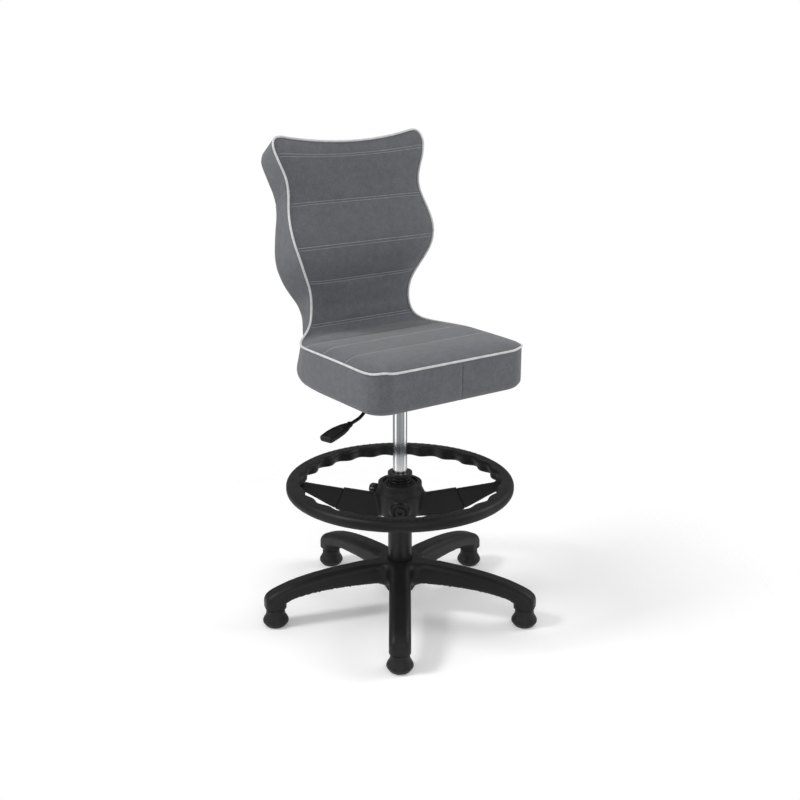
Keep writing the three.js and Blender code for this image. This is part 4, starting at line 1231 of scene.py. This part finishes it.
def on_surface(u, v):
    """The point of the finished cloth over (u, v), and its normal, in millimetres."""
    base = face_point(np.array([u]), np.array([v]))[0]
    normal = face_normal(np.array([v]))[0]
    start = Vector(to_row(base + 40 * normal).tolist())
    hit, hit_normal, _, _ = surface.ray_cast(start, Vector((-normal).tolist()), 0.08)
    if hit is None:
        return None
    return np.array(hit) / MM - ORIGIN, np.array(hit_normal)


def sewn_line(row_value, inset, pitch, length, thickness):
    """One capsule of thread per stitch, along a row of the face."""
    i = int(np.argmin(np.abs(row_v - row_value)))
    line_u, line_v = U[i], W[i]
    run = np.concatenate([[0], np.cumsum(np.hypot(np.diff(line_u), np.diff(line_v)))])
    shapes = []
    count = int((run[-1] - 2 * inset) / pitch)
    for k in range(count):
        middle = inset + (k + 0.5) * (run[-1] - 2 * inset) / count
        ends = []
        for s in (-0.5, 0.0, 0.5):
            at = middle + s * length
            found = on_surface(float(np.interp(at, run, line_u)), float(np.interp(at, run, line_v)))
            if found is None:
                break
            ends.append(found[0] + found[1] * (0.35 if s == 0 else -0.1) * thickness)
        if len(ends) == 3:
            a, b, c = ends
            path = [a, 0.45 * a + 0.55 * b + 0.15 * (b - (a + c) / 2), b + 0.2 * (b - (a + c) / 2),
                    0.45 * c + 0.55 * b + 0.15 * (b - (a + c) / 2), c]
            shapes.append(tube(path, [0.5 * thickness, thickness, thickness, thickness, 0.5 * thickness], 6))
    return shapes


stitches = []
for v in sewn_rows:
    stitches += sewn_line(v, 4.0, 4.6, 3.7, 0.75 if v in SINGLE else 0.5)
points, faces = merged(stitches)
piece("stitching", points, faces, thread, "seat", [])

# ---------------------------------------------------------------- gas cylinder

low, high = CYLINDER_LOW[2], CYLINDER_HIGH[2]
radius = CYLINDER_HIGH[0]
cylinder_profile = rounded([
    (5.3, low + 10, 0.2), (5.3, low, 0.3), (radius, low, 1.6), (radius, high - 38, 0.6),
    (radius - 1.4, high, 0.8), (4.3, high, 0.3), (4.3, high - 21, 0), (0, high - 21, 0), (0, high - 53, 0),
    (radius - 2.6, high - 53, 0.5), (radius - 2.6, low + 10, 0.2),
])
points, faces = turned(cylinder_profile, 96, closed=True)
piece("lift_cylinder", points, faces, chrome, "seat", ["gas_cylinder"], 35)

# ---------------------------------------------------------------- stage

scene = bpy.context.scene
scene.view_settings.view_transform = "Standard"

camera = bpy.data.objects.new("camera", bpy.data.cameras.new("camera"))
camera.data.lens = 53.89
camera.data.sensor_width = 36.0
camera.location = (-1.3703, -1.9110, 1.1717)
camera.rotation_euler = (math.radians(73.07), 0.0, math.radians(-36.0))
scene.collection.objects.link(camera)
scene.camera = camera


def make_floor():
    size, count = 3.2, 48
    line = np.linspace(-size, size, count)
    x, y = np.meshgrid(line, line, indexing="ij")
    points = np.stack([x.ravel(), y.ravel(), 0 * x.ravel()], 1)
    faces = [[i * count + j, (i + 1) * count + j, (i + 1) * count + j + 1, i * count + j + 1]
             for i in range(count - 1) for j in range(count - 1)]
    mesh = bpy.data.meshes.new("floor")
    mesh.from_pydata(points.tolist(), [], faces)
    floor = bpy.data.objects.new("floor", mesh)
    scene.collection.objects.link(floor)
    f = Finish("floor")
    f.set(Roughness=0.75, Specular_IOR_Level=0.2)
    f.colour(f.ramp(f.noise(3.0), (0.3, (0.955, 0.955, 0.955)), (0.7, (0.97, 0.97, 0.97))))
    length = f.add("ShaderNodeVectorMath", operation="LENGTH")
    f.join(f.where, length.inputs[0])
    f.join(f.span(length.outputs["Value"], 1.0, 0.0, 0.5, 0.95), f.shader.inputs["Alpha"])
    f.set(Emission_Color=(1.0, 1.0, 1.0, 1.0), Emission_Strength=0.14)
    mesh.materials.append(f.material)


make_floor()


def area_light(name, place, target, size, power):
    light = bpy.data.lights.new(name, "AREA")
    light.energy = power
    light.size = size
    holder = bpy.data.objects.new(name, light)
    holder.location = place
    holder.rotation_euler = (Vector(target) - Vector(place)).to_track_quat("-Z", "Y").to_euler()
    scene.collection.objects.link(holder)


area_light("key", (-2.0, 0.62, 2.45), (0, 0, 0.3), 0.7, 38)
area_light("front", (-1.3, -2.7, 1.15), (0, 0, 0.65), 2.0, 22)
area_light("right", (2.3, -0.9, 1.9), (0, 0, 0.3), 1.2, 22)


def make_world():
    """White to the camera. To all else, a grey room with two bright panels and a pale ground."""
    world = bpy.data.worlds.new("studio")
    scene.world = world
    world.use_nodes = True
    tree = world.node_tree
    tree.nodes.clear()

    def add(kind, inputs=(), **values):
        node = tree.nodes.new("ShaderNode" + kind)
        for key, value in values.items():
            setattr(node, key, value)
        for key, value in inputs:
            node.inputs[key].default_value = value
        return node

    seen, lit = add("Background", [("Color", (1, 1, 1, 1))]), add("Background")
    direction, split = add("TexCoord"), add("SeparateXYZ")
    turn = add("Math", operation="ARCTAN2")
    scaled = add("Math", [(1, 1 / (2 * math.pi)), (2, 0.5)], operation="MULTIPLY_ADD")
    panels = add("ValToRGB")
    # Places round the horizon, from 0 to 1, and how bright the room is there.
    stops = [(0.0, 0.34), (0.10, 0.32), (0.140, 0.33), (0.145, 0.08), (0.155, 0.08), (0.160, 0.33),
             (0.25, 0.36), (0.36, 0.3), (0.37, 1.5), (0.43, 1.5), (0.44, 0.28), (0.80, 0.3), (0.895, 0.32),
             (0.905, 1.35),
             (0.98, 1.35), (0.99, 0.34)]
    elements = panels.color_ramp.elements
    while len(elements) < len(stops):
        elements.new(0.5)
    for element, (at, grey) in zip(elements, stops):
        element.position = at
        element.color = (grey, grey, grey, 1)
    above = add("MapRange", [("From Min", 0.25), ("From Max", 0.85)])
    ground = add("MapRange", [("From Min", -0.42), ("From Max", -0.6)])
    factor, first, second, result = 0, 6, 7, 2          # a colour Mix node's sockets
    walls = add("Mix", data_type="RGBA")
    walls.inputs[second].default_value = (0.55, 0.55, 0.55, 1)
    room = add("Mix", data_type="RGBA")
    room.inputs[second].default_value = (0.9, 0.9, 0.9, 1)
    either, ray, output = add("MixShader"), add("LightPath"), add("OutputWorld")
    for source, target in (
        (direction.outputs["Generated"], split.inputs[0]),
        (split.outputs["Y"], turn.inputs[0]), (split.outputs["X"], turn.inputs[1]),
        (turn.outputs[0], scaled.inputs[0]), (scaled.outputs[0], panels.inputs["Fac"]),
        (split.outputs["Z"], above.inputs["Value"]), (above.outputs["Result"], walls.inputs[factor]),
        (panels.outputs["Color"], walls.inputs[first]),
        (split.outputs["Z"], ground.inputs["Value"]), (ground.outputs["Result"], room.inputs[factor]),
        (walls.outputs[result], room.inputs[first]), (room.outputs[result], lit.inputs["Color"]),
        (ray.outputs["Is Camera Ray"], either.inputs["Fac"]),
        (lit.outputs[0], either.inputs[1]), (seen.outputs[0], either.inputs[2]),
        (either.outputs[0], output.inputs["Surface"]),
    ):
        tree.links.new(source, target)


make_world()

low, high = cad_box
